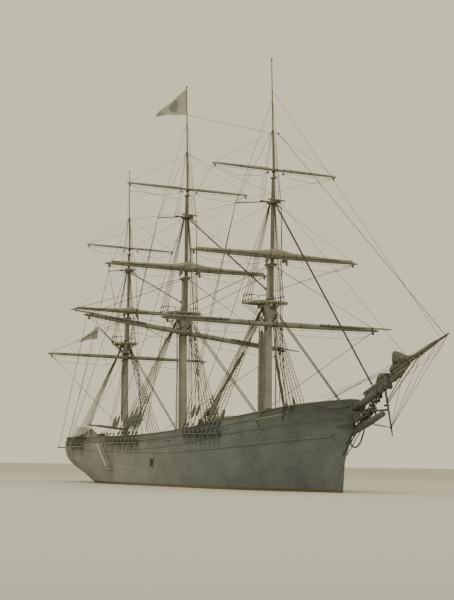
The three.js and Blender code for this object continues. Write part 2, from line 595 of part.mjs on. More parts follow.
const drumHole = lathe([[0, 0], [SPINDLE_HOLE, 0], [SPINDLE_HOLE, 0.76], [0, 0.76]], 20);
node("capstan_base", onHull(moved(lathe(baseRows, 20), cx, 0, cz)), 0x4b4a44);
node("capstan", moved(cut(lathe(drumRows, 20), drumHole), cx, 0, cz), 0x6a5a44);

// Steering gear under the awning: a box with the wheel on its forward face.
const WHEEL = { x: -25.0, z: 5.78, radius: 0.66 };
const shaft = (x0, x1, r, n = 16) => spar([[x0, 0, WHEEL.z, r], [x1, 0, WHEEL.z, r]], n);
node(
  "wheel_box",
  cut(
    onHull(block([-26.2, -25.3, -0.4, 0.4], 4.6, [-26.1, -25.3, -0.34, 0.34], 6.1)),
    shaft(-25.6, -25.0, holeRadius(0.06, 18), 18),
  ),
  0x7a6a50,
);
const felloe = cut(
  shaft(-25.06, -24.98, WHEEL.radius - 0.12, 20),
  shaft(-25.2, -24.8, WHEEL.radius - 0.2, 20),
);
const spokes = [];
for (let k = 0; k < 8; k++) {
  const [c, s] = [Math.cos((k * Math.PI) / 4), Math.sin((k * Math.PI) / 4)];
  const at = (reach, r) => [-25.02, c * reach, WHEEL.z + s * reach, r];
  spokes.push(spar([at(0.03, 0.028), at(WHEEL.radius, 0.024)], 6));
}
const hub = join(shaft(-25.5, -24.94, 0.06), shaft(-25.1, -24.92, 0.11));
node("steering_wheel", join(hub, felloe, ...spokes), 0x5b4630);

// Anchors stowed along the rail, the stock upright under the cathead.
const anchor = join(
  spar([[25.0, -5.0, 7.25, 0.1], [20.7, -5.45, 6.85, 0.12]], 8),
  bar([20.75, -5.45, 6.85], [21.6, -4.4, 7.9], 0.2, 0.16),
  bar([20.75, -5.45, 6.85], [21.5, -5.1, 5.7], 0.2, 0.16),
  bar([24.7, -5.05, 8.0], [24.7, -4.95, 6.6], 0.2, 0.2),
);
node("anchor_starboard", largest(clearOfPiece(anchor, hull)), 0x7c776a);
node("anchor_port", largest(clearOfPiece(mirrored(anchor), hull)), 0x7c776a);

// Canvas: the awning, the furled jib, and the flags. The awning is a tent with open ends that
// stands on the starboard side of the poop, below the boom's swing, and rises a little aft.
const AWNING = {
  x0: -28.0, x1: -23.2, port: -1.1, ridgeY: -2.3, starboard: -3.5,
  foot: 4.7, eaves: 5.55, ridge: 6.66, rise: 0.16, thick: 0.03,
};
function tent(x, lift) {
  const { port, ridgeY, starboard, foot, thick } = AWNING;
  const [eaves, ridge] = [AWNING.eaves + lift, AWNING.ridge + lift];
  const [left, right] = [port - thick, starboard + thick];
  return [
    [x, starboard, foot], [x, starboard, eaves + thick], [x, ridgeY, ridge + thick],
    [x, port, eaves + thick], [x, port, foot], [x, left, foot], [x, left, eaves],
    [x, ridgeY, ridge], [x, right, eaves], [x, right, foot],
  ];
}
const awning = loft([tent(AWNING.x0, AWNING.rise), tent(AWNING.x1, 0)]);
node("poop_awning", onHull(awning), 0xa39e8a);
const jibRoll = spar(
  [
    [35.35, 0, 11.15, 0.15], [35.7, 0, 12.33, 0.68], [36.5, 0, 12.17, 0.58], [37.6, 0, 12.28, 0.34],
    [38.4, 0, 12.45, 0.18], [41.6, 0, 13.5, 0.09],
  ],
  8,
);
const stayRoom = STAYS.slice(0, 3).map(([, x0, z0, x1, z1, r]) =>
  spar([[x0, 0, z0, r + GAP * 2], [x1, 0, z1, r + GAP * 2]], 8),
);
node("furled_jib", cut(jibRoll, spar(jibboomRows(GAP), 12), ...stayRoom), 0x77725c);
// A flag: corners as x, y, z, and a thickness along the first edge's normal in plan.
function flag(corners, thickness) {
  const [a, b] = [corners[0], corners[2]];
  const length = Math.hypot(b[0] - a[0], b[1] - a[1]);
  const n = [((b[1] - a[1]) / length) * thickness, (-(b[0] - a[0]) / length) * thickness, 0];
  return loft([corners, corners.map((p) => p.map((v, k) => v + n[k]))]);
}
const [, mainX, mainRake, , , mainTrees, , , , , , mainAhead, mainExtra] = MASTS[1];
const poleX = (z) => mainX + mainAhead + 0.3 + mainExtra * mainTrees - (mainRake + mainExtra) * z;
const WIND = [0.62, 0.78];
const leeward = ([x, y, z], length, drop) => [x - WIND[0] * length, y - WIND[1] * length, z - drop];
const truckHoist = [poleX(46.2), 0, 46.2];
const truckFlag = flag(
  [truckHoist, [poleX(43.6), 0, 43.6], leeward(truckHoist, 3.7, 3.2), leeward(truckHoist, 3.4, 1.6)],
  0.016,
);
node("main_truck_flag", largest(clearOfPiece(truckFlag, made.main_topgallant_mast)), 0xb8b4a4);
const peak = [-27.55, 0, 20.12];
const ensign = flag(
  [peak, [peak[0], 0, peak[2] - 2.9], leeward(peak, 2.6, 3.2), leeward(peak, 2.6, 1.2)],
  0.016,
);
node("ensign", largest(clearOfPiece(ensign, made.spanker_gaff)), 0x8a8474);

export default group;
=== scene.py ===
# %% [markdown]
# # A three-masted sailing ship at half of its real size
# The ship floats, so the floor of this scene is the water and the hull goes on below it. Every
# measure below is in metres of the real ship: x forward from midships, y to port, z up from the
# water. Only the last step of making a mesh halves them, so the tables can be read against any
# book on sailing ships. The imported frame is loaded first, and its box is kept to be printed
# beside the dressed ship's box at the end.

import math

import bpy
import numpy as np
from mathutils import Matrix, Vector
from mathutils.geometry import tessellate_polygon


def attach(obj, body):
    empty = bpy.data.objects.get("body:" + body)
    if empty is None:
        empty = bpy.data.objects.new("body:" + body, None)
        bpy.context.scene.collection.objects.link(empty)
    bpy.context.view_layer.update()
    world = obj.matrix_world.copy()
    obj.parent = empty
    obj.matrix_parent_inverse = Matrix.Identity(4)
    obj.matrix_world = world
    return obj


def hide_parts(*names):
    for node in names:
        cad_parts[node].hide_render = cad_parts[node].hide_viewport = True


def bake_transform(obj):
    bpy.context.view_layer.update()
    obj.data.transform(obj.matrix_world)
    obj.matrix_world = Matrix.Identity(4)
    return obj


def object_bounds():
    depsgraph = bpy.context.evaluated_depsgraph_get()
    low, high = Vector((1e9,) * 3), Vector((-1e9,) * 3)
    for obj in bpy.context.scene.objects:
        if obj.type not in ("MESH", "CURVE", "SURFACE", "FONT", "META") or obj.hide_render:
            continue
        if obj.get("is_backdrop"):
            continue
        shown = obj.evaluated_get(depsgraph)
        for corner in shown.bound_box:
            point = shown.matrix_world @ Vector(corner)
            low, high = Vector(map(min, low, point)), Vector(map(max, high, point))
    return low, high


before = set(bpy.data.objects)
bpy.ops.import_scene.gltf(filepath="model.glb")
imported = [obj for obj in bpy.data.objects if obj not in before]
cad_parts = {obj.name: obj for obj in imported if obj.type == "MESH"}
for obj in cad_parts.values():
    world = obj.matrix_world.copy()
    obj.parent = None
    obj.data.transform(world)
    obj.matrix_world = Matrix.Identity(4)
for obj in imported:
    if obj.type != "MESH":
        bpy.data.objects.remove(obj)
cad_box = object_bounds()
HALF = 0.5
print("frame box", [tuple(round(c, 2) for c in corner) for corner in cad_box])

# %% [markdown]
# ## Camera
# The picture was taken from far off the starboard bow, almost from the height of a person's
# eyes, with the camera tipped up a little and turned less than a degree. A long lens from far
# away keeps the three masts nearly the same size. The place and angles come from fitting the
# ends of masts and yards; the sensor's 36 mm is the long side of the frame.

# %% Camera
CAMERA_AT = (67.77, -37.95, 1.351)
HEADING, TILT, ROLL = 59.7527, 6.665, 0.895
LENS = 83.3

camera = bpy.data.objects.new("camera", bpy.data.cameras.new("camera"))
bpy.context.scene.collection.objects.link(camera)
bpy.context.scene.camera = camera
camera.data.lens = LENS
camera.data.sensor_width = 36
camera.data.clip_end = 1000
turn = (
    Matrix.Rotation(math.radians(HEADING), 4, "Z")
    @ Matrix.Rotation(math.radians(90 + TILT), 4, "X")
    @ Matrix.Rotation(math.radians(ROLL), 4, "Z")
)
camera.matrix_world = Matrix.Translation(CAMERA_AT) @ turn
print("camera", CAMERA_AT)

# %% [markdown]
# ## Meshes from grids
# Almost everything on a ship is a profile carried along a line: spars, ropes, planks, rails.
# One function turns whole stacks of such grids into faces by index arithmetic, so a hundred
# ropes cost no more code than one. A part is kept as arrays until its piece is put together.


# %% Grids to faces
def xyz(x, y, z):
    """Points from three coordinates, each an array or one number for them all."""
    return np.stack(np.broadcast_arrays(x, y, z), -1).astype(float)


def skins(grid, closed_round=True, ends=True, slot=0):
    """Faces of a stack of grids, grid[k, i, j]: piece k, row i along it, column j round it.
    Each face joins neighbours (i, j), (i, j+1), (i+1, j+1), (i+1, j); columns wrap round if
    closed_round, and ends fills the first and last row with a fan to the row's mean point.
    U runs along the rows and V round them, both in metres."""
    grid = np.asarray(grid, float)
    n, rows, columns = grid.shape[:3]
    index = np.arange(n * rows * columns).reshape(n, rows, columns)
    across = np.roll(index, -1, 2) if closed_round else index[:, :, 1:]
    here = index if closed_round else index[:, :, :-1]
    quads = np.stack([here[:, :-1], across[:, :-1], across[:, 1:], here[:, 1:]], -1)
    along = np.linalg.norm(np.diff(grid.mean(2), axis=1), axis=2)
    u = np.concatenate([np.zeros((n, 1)), np.cumsum(along, 1)], 1)
    step = np.linalg.norm(np.roll(grid, -1, 2) - grid, axis=3).mean(1)
    v = np.concatenate([np.zeros((n, 1)), np.cumsum(step, 1)], 1)
    m = quads.shape[2]
    u0, u1 = u[:, :-1, None] + np.zeros(m), u[:, 1:, None] + np.zeros(m)
    v0 = v[:, None, :m] + np.zeros((1, rows - 1, 1))
    v1 = v[:, None, 1 : m + 1] + np.zeros((1, rows - 1, 1))
    uv = np.stack([np.stack(corner, -1) for corner in ((u0, v0), (u0, v1), (u1, v1), (u1, v0))], -2)
    verts = grid.reshape(-1, 3)
    tris, tri_uv = np.zeros((0, 3), int), np.zeros((0, 3, 2))
    if ends:
        middle = grid[:, [0, -1]].mean(2)
        base = len(verts) + 2 * np.arange(n)[:, None]
        first = np.stack([base + 0 * index[:, 0], np.roll(index[:, 0], -1, 1), index[:, 0]], -1)
        last = np.stack([base + 1 + 0 * index[:, -1], index[:, -1], np.roll(index[:, -1], -1, 1)], -1)
        verts = np.concatenate([verts, middle.reshape(-1, 3)])
        tris = np.concatenate([first.reshape(-1, 3), last.reshape(-1, 3)])
        tri_uv = verts[tris][:, :, [1, 2]]
    return {
        "verts": verts,
        "quads": quads.reshape(-1, 4),
        "quad_uv": uv.reshape(-1, 4, 2),
        "tris": tris,
        "tri_uv": tri_uv,
        "slot": slot,
    }
print("grids become faces")

# %% Tubes and ropes
def rings(path, radius, sides, reference=(0, 0, 1), squash=1.0, start=0.0):
    """Circles round points of paths: path[k, i] plus radius times (cos t * u + sin t * v),
    where u is the reference made square to the path and v is the path's direction times u."""
    path = np.asarray(path, float)
    if path.ndim == 2:
        path = path[None]
    radius = np.broadcast_to(np.asarray(radius, float), path.shape[:2])
    tangent = np.gradient(path, axis=1)
    tangent /= np.linalg.norm(tangent, axis=2, keepdims=True)
    guide = np.broadcast_to(np.asarray(reference, float), path.shape).copy()
    nearly_along = np.abs((tangent * guide).sum(2)) > 0.97
    guide[nearly_along] = (1, 0, 0.01)
    u = guide - (guide * tangent).sum(2, keepdims=True) * tangent
    u /= np.linalg.norm(u, axis=2, keepdims=True)
    v = np.cross(tangent, u)
    t = start + np.arange(sides) * 2 * np.pi / sides
    c, s = np.cos(t)[:, None], np.sin(t)[:, None] * squash
    return path[:, :, None] + radius[:, :, None, None] * (u[:, :, None] * c + v[:, :, None] * s)


def tube(path, radius, sides=8, slot=0, **more):
    """Round bars along one path or a stack of them, closed at both ends."""
    return skins(rings(path, radius, sides, **more), slot=slot)


def ropes(ends, radius=0.03, sides=5, slot=0):
    """Straight taut ropes: ends is pairs of points, each rope two rows of a small polygon."""
    ends = np.asarray(ends, float).reshape(-1, 2, 3)
    radius = np.broadcast_to(np.asarray(radius, float).reshape(-1, 1), (len(ends), 1))
    return tube(ends, radius, sides, slot=slot)


def hanging(ends, sag, radius=0.02, sides=5, points=9, slot=0):
    """Slack ropes between pairs of points, dropped by sag * 4 t (1 - t)."""
    ends = np.asarray(ends, float).reshape(-1, 2, 3)
    t = np.linspace(0, 1, points)[None, :, None]
    path = ends[:, :1] * (1 - t) + ends[:, 1:] * t
    path[:, :, 2] -= np.reshape(sag, (-1, 1)) * (4 * t * (1 - t))[:, :, 0]
    return tube(path, radius, sides, slot=slot)


print("tubes and ropes ready")

# %% Boxes and lathes
def blocks(low, high, slot=0, bevel=0.0):
    """Boxes between pairs of low and high corners, as four-sided lofts with cut edges."""
    low, high = np.asarray(low, float).reshape(-1, 3), np.asarray(high, float).reshape(-1, 3)
    size = high - low
    b = np.minimum(bevel, size.min(1) * 0.4)[:, None]
    x0, y0 = low[:, :1], low[:, 1:2]
    x1, y1 = high[:, :1], high[:, 1:2]

    def ring(inset, z):
        """Eight corners at height z: the outline moved in by inset, its corners cut by b."""
        xa, xb, ya, yb = x0 + inset, x1 - inset, y0 + inset, y1 - inset
        x = np.concatenate([x0 + b, x1 - b, xb, xb, x1 - b, x0 + b, xa, xa], 1)
        y = np.concatenate([ya, ya, y0 + b, y1 - b, yb, yb, y1 - b, y0 + b], 1)
        return xyz(x, y, z)

    z0, z1 = low[:, 2:], high[:, 2:]
    levels = [ring(b, z0), ring(0 * b, z0 + b), ring(0 * b, z1 - b), ring(b, z1)]
    if bevel == 0:
        levels = [ring(0 * b, z0), ring(0 * b, z1)]
    return skins(np.stack(levels, 1), slot=slot)


def turned(profile, sides=20, slot=0):
    """A lathe: rows of (x, y, z, radius) up an axis."""
    rows = np.asarray(profile, float)
    return tube(rows[None, :, :3], rows[None, :, 3], sides, slot=slot, reference=(1, 0, 0))


def both_sides(part):
    """The part and its mirror across the centreline, with the mirror's faces turned back."""
    other = dict(part)
    other["verts"] = part["verts"] * (1, -1, 1)
    for key in ("quads", "tris", "quad_uv", "tri_uv"):
        other[key] = part[key][:, ::-1]
    return [part, other]


print("boxes and lathes ready")

# %% [markdown]
# ## From parts to pieces
# A piece is one object: its parts' arrays are stacked, each part's faces take the material slot
# it names, and edges sharper than a set angle stay crisp while the rest is shaded smooth. It
# rides on the body of the frame that carries it, and replaces the plain solid it stands for.


# %% Parts to a piece
def piece(name, parts, materials, body="ship", replaces=None, crisp=35.0):
    """One object from parts: halved to model metres, linked, shaded, given its body."""
    parts = [p for p in parts if len(p["verts"])]
    offset = np.cumsum([0] + [len(p["verts"]) for p in parts[:-1]])
    verts = np.concatenate([p["verts"] for p in parts]) * HALF
    quads = np.concatenate([p["quads"] + o for p, o in zip(parts, offset)])
    tris = np.concatenate([p["tris"] + o for p, o in zip(parts, offset)])
    uv = np.concatenate(
        [p["quad_uv"].reshape(-1, 2) for p in parts] + [p["tri_uv"].reshape(-1, 2) for p in parts]
    )
    slots = np.concatenate(
        [np.broadcast_to(p["slot"], len(p["quads"])) for p in parts]
        + [np.full(len(p["tris"]), p["slot"] if np.size(p["slot"]) == 1 else 0) for p in parts]
    )
    mesh = bpy.data.meshes.new(name)
    mesh.vertices.add(len(verts))
    mesh.vertices.foreach_set("co", verts.astype(np.float32).ravel())
    corners = np.concatenate([quads.ravel(), tris.ravel()])
    sizes = np.concatenate([np.full(len(quads), 4), np.full(len(tris), 3)])
    mesh.loops.add(len(corners))
    mesh.loops.foreach_set("vertex_index", corners.astype(np.int32))
    mesh.polygons.add(len(sizes))
    mesh.polygons.foreach_set("loop_start", np.concatenate([[0], np.cumsum(sizes)[:-1]]).astype(np.int32))
    mesh.polygons.foreach_set("material_index", slots.astype(np.int32))
    mesh.update(calc_edges=True)
    layer = mesh.uv_layers.new(name="UVMap")
    layer.data.foreach_set("uv", uv.astype(np.float32).ravel())
    mesh.validate()
    mesh.polygons.foreach_set("use_smooth", np.ones(len(mesh.polygons), bool))
    mesh.set_sharp_from_angle(angle=math.radians(crisp))
    for m in materials:
        mesh.materials.append(m)
    obj = bpy.data.objects.new(name, mesh)
    bpy.context.scene.collection.objects.link(obj)
    if body:
        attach(obj, body)
    if replaces:
        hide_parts(replaces)
    print(f"{name}: {len(quads) + len(tris)} faces")
    return obj


# %% [markdown]
# ## Aged finishes
# Every surface on a working ship is the same story told in other colours: a base coat, patches
# where it has worn or dirt has gathered, and fine grain along the piece. One recipe makes them
# all. Two noises of different scale mix three tints, a long-stretched one gives grain or weather
# streaks, and the same values drive the roughness and a small bump.


# %% A recipe for worn surfaces
def srgb(*rgb):
    """Screen colours 0 to 255 as the linear values that shaders take."""
    c = np.array(rgb) / 255.0
    return tuple(np.where(c <= 0.04045, c / 12.92, ((c + 0.055) / 1.055) ** 2.4)) + (1.0,)


def link(tree, kind, inputs=None, **settings):
    """A shader node; each input takes a value, or another node's output, which is linked to it."""
    node = tree.nodes.new(kind)
    for key, value in settings.items():
        setattr(node, key, value)
    for key, value in (inputs or {}).items():
        if isinstance(value, bpy.types.NodeSocket):
            tree.links.new(value, node.inputs[key])
        else:
            node.inputs[key].default_value = value
    return node


def blended(tree, factor, first, second, how="MIX"):
    """The first colour going over to the second as the factor goes from 0 to 1."""
    colours = {0: factor, 6: first, 7: second}
    return link(tree, "ShaderNodeMix", colours, data_type="RGBA", blend_type=how).outputs[2]


def remapped(tree, value, low, high, to_low=0.0, to_high=1.0):
    """The value's range from low to high drawn out to to_low and to_high, and held there."""
    ends = {"From Min": low, "From Max": high, "To Min": to_low, "To Max": to_high}
    return link(tree, "ShaderNodeMapRange", {"Value": value, **ends}).outputs[0]


def reckoned(tree, operation, first, second):
    """The result of one sum on two values."""
    return link(tree, "ShaderNodeMath", {0: first, 1: second}, operation=operation).outputs[0]


def paint_of(material):
    """A finish's node tree, the output that colours it, and the input that takes the colour."""
    colour_in = material.node_tree.nodes["Principled BSDF"].inputs["Base Color"]
    return material.node_tree, colour_in.links[0].from_socket, colour_in


# %% One recipe for every surface
def worn(name, base, dark, light, scale=1.0, grain=(1, 1, 1), rough=0.75, bump=0.02, metallic=0.0):
    """Base colour mixed towards dark by a large noise and towards light by grain."""
    material = bpy.data.materials.new(name)
    material.use_nodes = True
    tree = material.node_tree
    shader = tree.nodes["Principled BSDF"]
    place = link(tree, "ShaderNodeTexCoord").outputs["Object"]
    stretched = link(tree, "ShaderNodeMapping", {"Vector": place, "Scale": grain}).outputs[0]
    large = {"Vector": place, "Scale": 0.9 * scale, "Detail": 5.0, "Roughness": 0.6}
    small = {"Vector": stretched, "Scale": 9.0 * scale, "Detail": 6.0, "Roughness": 0.7}
    patches, fibres = (link(tree, "ShaderNodeTexNoise", noise).outputs[0] for noise in (large, small))
    faded = blended(tree, remapped(tree, patches, 0.38, 0.66), base, dark)
    coloured = blended(tree, remapped(tree, fibres, 0.45, 0.75), faded, light)
    shine = remapped(tree, fibres, 0.0, 1.0, rough - 0.12, min(rough + 0.15, 1))
    relief = link(tree, "ShaderNodeBump", {"Height": fibres, "Distance": bump, "Strength": 0.5}).outputs[0]
    for output, name_in in ((coloured, "Base Color"), (shine, "Roughness"), (relief, "Normal")):
        tree.links.new(output, shader.inputs[name_in])
    shader.inputs["Metallic"].default_value = metallic
    return material


print("one recipe for worn surfaces")

# %% The finishes
mast_paint = worn("mast_paint", srgb(142, 142, 131), srgb(114, 114, 104), srgb(162, 162, 152), 1.2,
                  (6, 6, 0.5))
top_paint = worn("top_paint", srgb(150, 150, 136), srgb(118, 116, 102), srgb(172, 172, 160), 2.0)
upper_wood = worn("upper_mast_wood", srgb(100, 92, 78), srgb(74, 67, 56), srgb(128, 119, 102), 1.5,
                  (6, 6, 0.6), 0.6)
yard_wood = worn("yard_wood", srgb(110, 113, 103), srgb(81, 84, 76), srgb(140, 142, 131), 1.5, (6, 0.5, 6),
                 0.65)
tarred = worn("tarred_rope", srgb(62, 60, 49), srgb(44, 43, 35), srgb(82, 79, 66), 6.0, (1, 1, 1), 0.8)
hemp = worn("hemp_rope", srgb(104, 96, 80), srgb(82, 75, 62), srgb(126, 118, 100), 6.0, (1, 1, 1), 0.85)
manila = worn("manila_rope", srgb(128, 127, 112), srgb(104, 103, 90), srgb(148, 147, 132), 6.0, (1, 1, 1),
              0.85)
iron = worn("black_iron", srgb(58, 55, 50), srgb(40, 38, 35), srgb(92, 76, 60), 5.0, (1, 1, 1), 0.55, 0.005,
            0.6)
deck_planks = worn("deck_planks", srgb(140, 128, 106), srgb(112, 102, 84), srgb(158, 148, 126), 1.0,
                   (0.6, 8, 8))
rail_wood = worn("rail_wood", srgb(110, 109, 95), srgb(82, 81, 70), srgb(138, 136, 120), 1.5, (0.6, 6, 6),
                 0.65)
mat_rope = worn("mat_rope", srgb(104, 107, 96), srgb(80, 83, 73), srgb(124, 126, 114), 6.0, (1, 1, 1), 0.9)
head_paint = worn("head_paint", srgb(74, 78, 72), srgb(57, 60, 55), srgb(94, 98, 91), 1.2)
house_paint = worn("house_paint", srgb(176, 172, 154), srgb(148, 143, 126), srgb(196, 193, 178), 1.5)
print("finishes ready")

# %% [markdown]
# ## Lines of the hull
# A ship's hull is drawn by its sections. Each row of the table is one section: where its bottom
# is, where it is widest and how wide, how wide and high it is at the rail, how hollow it runs
# near the keel and how full it is below the widest place. Between rows a smooth curve without
# overshoot is taken, so that a few rows give the whole shape and every other piece can ask
# how far out the side is at any place.

# %% Hull table
SECTIONS = np.array([
    # x, bottom z, widest z, half breadth, half at rail, rail z, hollow, fullness
    (-29.3, 4.3, 4.9, 3.2, 3.3, 5.58, 1.0, 5.0),
    (-28.9, 3.65, 4.5, 3.55, 3.55, 5.57, 1.0, 4.0),
    (-28.0, 2.95, 4.2, 3.95, 3.9, 5.56, 1.0, 3.4),
    (-26.5, 2.0, 3.9, 4.5, 4.38, 5.54, 1.0, 2.8),
    (-25.0, 1.15, 3.6, 4.85, 4.7, 5.53, 1.1, 2.4),
    (-22.0, -0.6, 3.1, 5.3, 5.12, 5.51, 1.5, 2.0),
    (-19.0, -1.9, 2.6, 5.5, 5.33, 5.5, 1.5, 2.0),
    (-15.0, -2.9, 2.1, 5.68, 5.5, 5.51, 1.35, 2.2),
    (-10.0, -3.5, 1.6, 5.77, 5.6, 5.55, 1.1, 2.7),
    (-4.0, -3.7, 1.3, 5.79, 5.63, 5.67, 1.0, 3.2),
    (3.0, -3.7, 1.3, 5.79, 5.63, 5.98, 1.0, 3.3),
    (9.0, -3.7, 1.5, 5.76, 5.62, 6.44, 1.0, 3.0),
    (14.0, -3.65, 2.0, 5.6, 5.53, 7.0, 1.05, 2.6),
    (18.0, -3.55, 3.0, 5.05, 5.28, 7.42, 1.1, 2.2),
    (21.5, -3.4, 4.4, 4.1, 4.75, 7.82, 1.15, 1.6),
    (24.5, -3.0, 5.0, 2.55, 3.95, 8.2, 1.2, 1.25),
    (26.5, -1.6, 5.2, 1.25, 3.05, 8.43, 1.4, 1.2),
    (27.7, 2.6, 5.7, 0.75, 2.2, 8.57, 1.2, 1.3),
    (28.6, 4.6, 6.3, 0.45, 1.35, 8.67, 1.1, 1.5),
    (29.3, 5.6, 7.2, 0.22, 0.5, 8.76, 1.0, 1.8),
])
print("hull sections", len(SECTIONS))

# %% The hull at any place
def section_at(x):
    """Rows of the table at any x: a cubic between rows whose slopes are the mean of the two
    neighbours' slopes, held to three times the slope between the rows and to its sign."""
    x = np.clip(np.asarray(x, float), SECTIONS[0, 0], SECTIONS[-1, 0])
    i = np.clip(np.searchsorted(SECTIONS[:, 0], x, "right") - 1, 0, len(SECTIONS) - 2)
    p0, p1 = SECTIONS[np.maximum(i - 1, 0)], SECTIONS[i]
    p2, p3 = SECTIONS[i + 1], SECTIONS[np.minimum(i + 2, len(SECTIONS) - 1)]

    def slope(a, b):
        """Change of each column per metre of x, and 0 where both rows are the same."""
        gap = b[..., :1] - a[..., :1]
        return np.where(gap == 0, 0, (b - a) / np.where(gap == 0, 1, gap))

    here = slope(p1, p2)

    def held(s):
        """The slope s, but no steeper than three times the slope here, and 0 if it turns back."""
        return np.where(s * here <= 0, 0, np.sign(s) * np.minimum(abs(s), 3 * abs(here)))

    h = p2[..., :1] - p1[..., :1]
    t = (x[..., None] - p1[..., :1]) / h
    m1, m2 = held((slope(p0, p1) + here) / 2) * h, held((slope(p2, p3) + here) / 2) * h
    row = p1 * (2 * t**3 - 3 * t**2 + 1) + m1 * (t**3 - 2 * t**2 + t)
    return row + p2 * (3 * t**2 - 2 * t**3) + m2 * (t**3 - t**2)


def rail_z(x):
    """Height of the rail at x, read from the hull table."""
    return section_at(x)[..., 5]


def rail_half(x):
    """Half of the hull's width at the rail."""
    return section_at(x)[..., 4]


def half_at(x, z):
    """Half breadth at x and z: below the widest place b (1 - (1 - u^hollow)^full)^(1/full),
    with u the height above the bottom over the height of the widest place; above it the side
    leans to the rail as the power 1.5 of the height."""
    row = section_at(x)
    low, wide, half, top, rail, hollow, full = (row[..., k] for k in range(1, 8))
    u = np.clip((z - low) / (wide - low), 0, 1)
    below = half * (1 - (1 - u**hollow) ** full) ** (1 / full)
    lean = np.clip((z - wide) / (rail - wide), 0, 1) ** 1.5
    return np.where(z >= wide, half + (top - half) * lean, below)


print("half breadth amidships", round(float(half_at(0.0, 1.3)), 2))

# %% [markdown]
# ## More ways to make a part
# Rails, planks and iron straps are one outline carried along a path, kept upright. Hoops are a
# rectangle carried round an axis. Blocks and deadeyes are short lathes whose axis points where
# the rope pulls. A smooth path through a few points serves rails and slack ropes alike.


# %% Outlines, hoops, discs and smooth paths
def smooth(points, steps=6):
    """A curve through the points: between p1 and p2 the cubic whose slopes are (p2 - p0) / 2
    and (p3 - p1) / 2, with the first and last point repeated."""
    p = np.asarray(points, float)
    p = np.concatenate([2 * p[:1] - p[1:2], p, 2 * p[-1:] - p[-2:-1]])
    t = np.linspace(0, 1, steps, endpoint=False)[None, :, None]
    p0, p1, p2, p3 = (p[k : len(p) - 3 + k, None] for k in range(4))
    m1, m2 = (p2 - p0) / 2, (p3 - p1) / 2
    part = p1 * (2 * t**3 - 3 * t**2 + 1) + m1 * (t**3 - 2 * t**2 + t)
    part = part + p2 * (3 * t**2 - 2 * t**3) + m2 * (t**3 - t**2)
    return np.concatenate([part.reshape(-1, p.shape[1]), p[-2:-1]])


def bar_outline(width, height, cut=0.15):
    """A rectangle about (0, 0) with its corners cut by that share of the shorter side."""
    w, h, c = width / 2, height / 2, cut * min(width, height)
    return [(-w, -h + c), (-w, h - c), (-w + c, h), (w - c, h), (w, h - c), (w, -h + c), (w - c, -h),
            (-w + c, -h)]


def carried(path, outline, up=(0, 0, 1), slot=0, ends=True):
    """An outline of (right, up) pairs carried along a path or a stack of paths."""
    path = np.asarray(path, float)
    path = path[None] if path.ndim == 2 else path
    tangent = np.gradient(path, axis=1)
    round_trip = np.allclose(path[:, 0], path[:, -1])
    if round_trip:
        tangent[:, 0] = tangent[:, -1] = path[:, 1] - path[:, -2]
    right = np.cross(tangent, np.broadcast_to(np.asarray(up, float), path.shape))
    right /= np.linalg.norm(right, axis=2, keepdims=True)
    rise = np.cross(right, tangent)
    rise /= np.linalg.norm(rise, axis=2, keepdims=True)
    o = np.asarray(outline, float)
    area = (o[:, 0] * np.roll(o[:, 1], -1) - np.roll(o[:, 0], -1) * o[:, 1]).sum()
    o = o[::-1] if area > 0 else o
    grid = path[:, :, None] + right[:, :, None] * o[:, :1] + rise[:, :, None] * o[:, 1:]
    return skins(grid, ends=ends, slot=slot)


def bars(ends, width, height, up=(0, 0, 1), slot=0, cut=0.15):
    """Straight bars between pairs of points."""
    ends = np.asarray(ends, float).reshape(-1, 2, 3)
    return carried(ends, bar_outline(width, height, cut), up, slot)


# %% Turned and tapered bodies, hoops and discs
def upright(x, y, z, rows, sides, slot=0):
    """A turned body on a vertical axis at x, y, from rows of (height above z, radius)."""
    return turned([(x, y, z + up, r) for up, r in rows], sides, slot=slot)


def tapered(rows):
    """A four-sided body through level rings, each given as (x aft, x ahead, half width, z)."""
    levels = [[(a, -w, z), (b, -w, z), (b, w, z), (a, w, z)] for a, b, w, z in rows]
    return skins(np.array(levels)[None])


def hoops(levels, inner, outer, height, sides=32, slot=0):
    """Bands round the z axis: the rectangle inner to outer by height turned round it."""
    levels = np.asarray(levels, float).reshape(-1, 1, 1)
    inner = np.asarray(inner, float).reshape(-1, 1, 1) + 0 * levels
    outer = np.asarray(outer, float).reshape(-1, 1, 1) + 0 * levels
    t = np.linspace(0, -2 * np.pi, sides + 1)[None, :, None]
    c = height * 0.2
    radius = np.concatenate([inner, outer - c, outer, outer, outer - c, inner], 2) + 0 * t
    h = np.array([-0.5, -0.5, -0.3, 0.3, 0.5, 0.5]) * height
    z = levels + h + 0 * t
    return skins(xyz(radius * np.cos(t), radius * np.sin(t), z), ends=False, slot=slot)


def discs(centres, axes, radius, thickness, sides=12, rows=((-1, 0.82), (-0.6, 1), (0.6, 1), (1, 0.82)),
          slot=0):
    """Short lathes: rows of (share of half the thickness, share of the radius)."""
    centres = np.asarray(centres, float).reshape(-1, 1, 3)
    axes = np.asarray(axes, float) + 0 * centres[:, 0]
    axes = (axes / np.linalg.norm(axes, axis=1, keepdims=True))[:, None]
    rows = np.asarray(rows, float)
    path = centres + axes * (rows[:, :1] * thickness / 2)
    radius = np.reshape(radius, (-1, 1)) * rows[None, :, 1]
    return tube(path, radius + 0 * path[:, :, 0], sides, slot=slot, reference=(0.3, 0.2, 1))


ROUND = [(-1, 0.2), (-0.8, 0.6), (-0.4, 0.92), (0, 1), (0.4, 0.92), (0.8, 0.6), (1, 0.2)]


def pulleys(centres, axes, size=0.2, slot=0):
    """Wooden blocks: round shells, longer than wide, along the pull of the rope."""
    return discs(centres, axes, size * 0.36, size, 8, ROUND, slot)


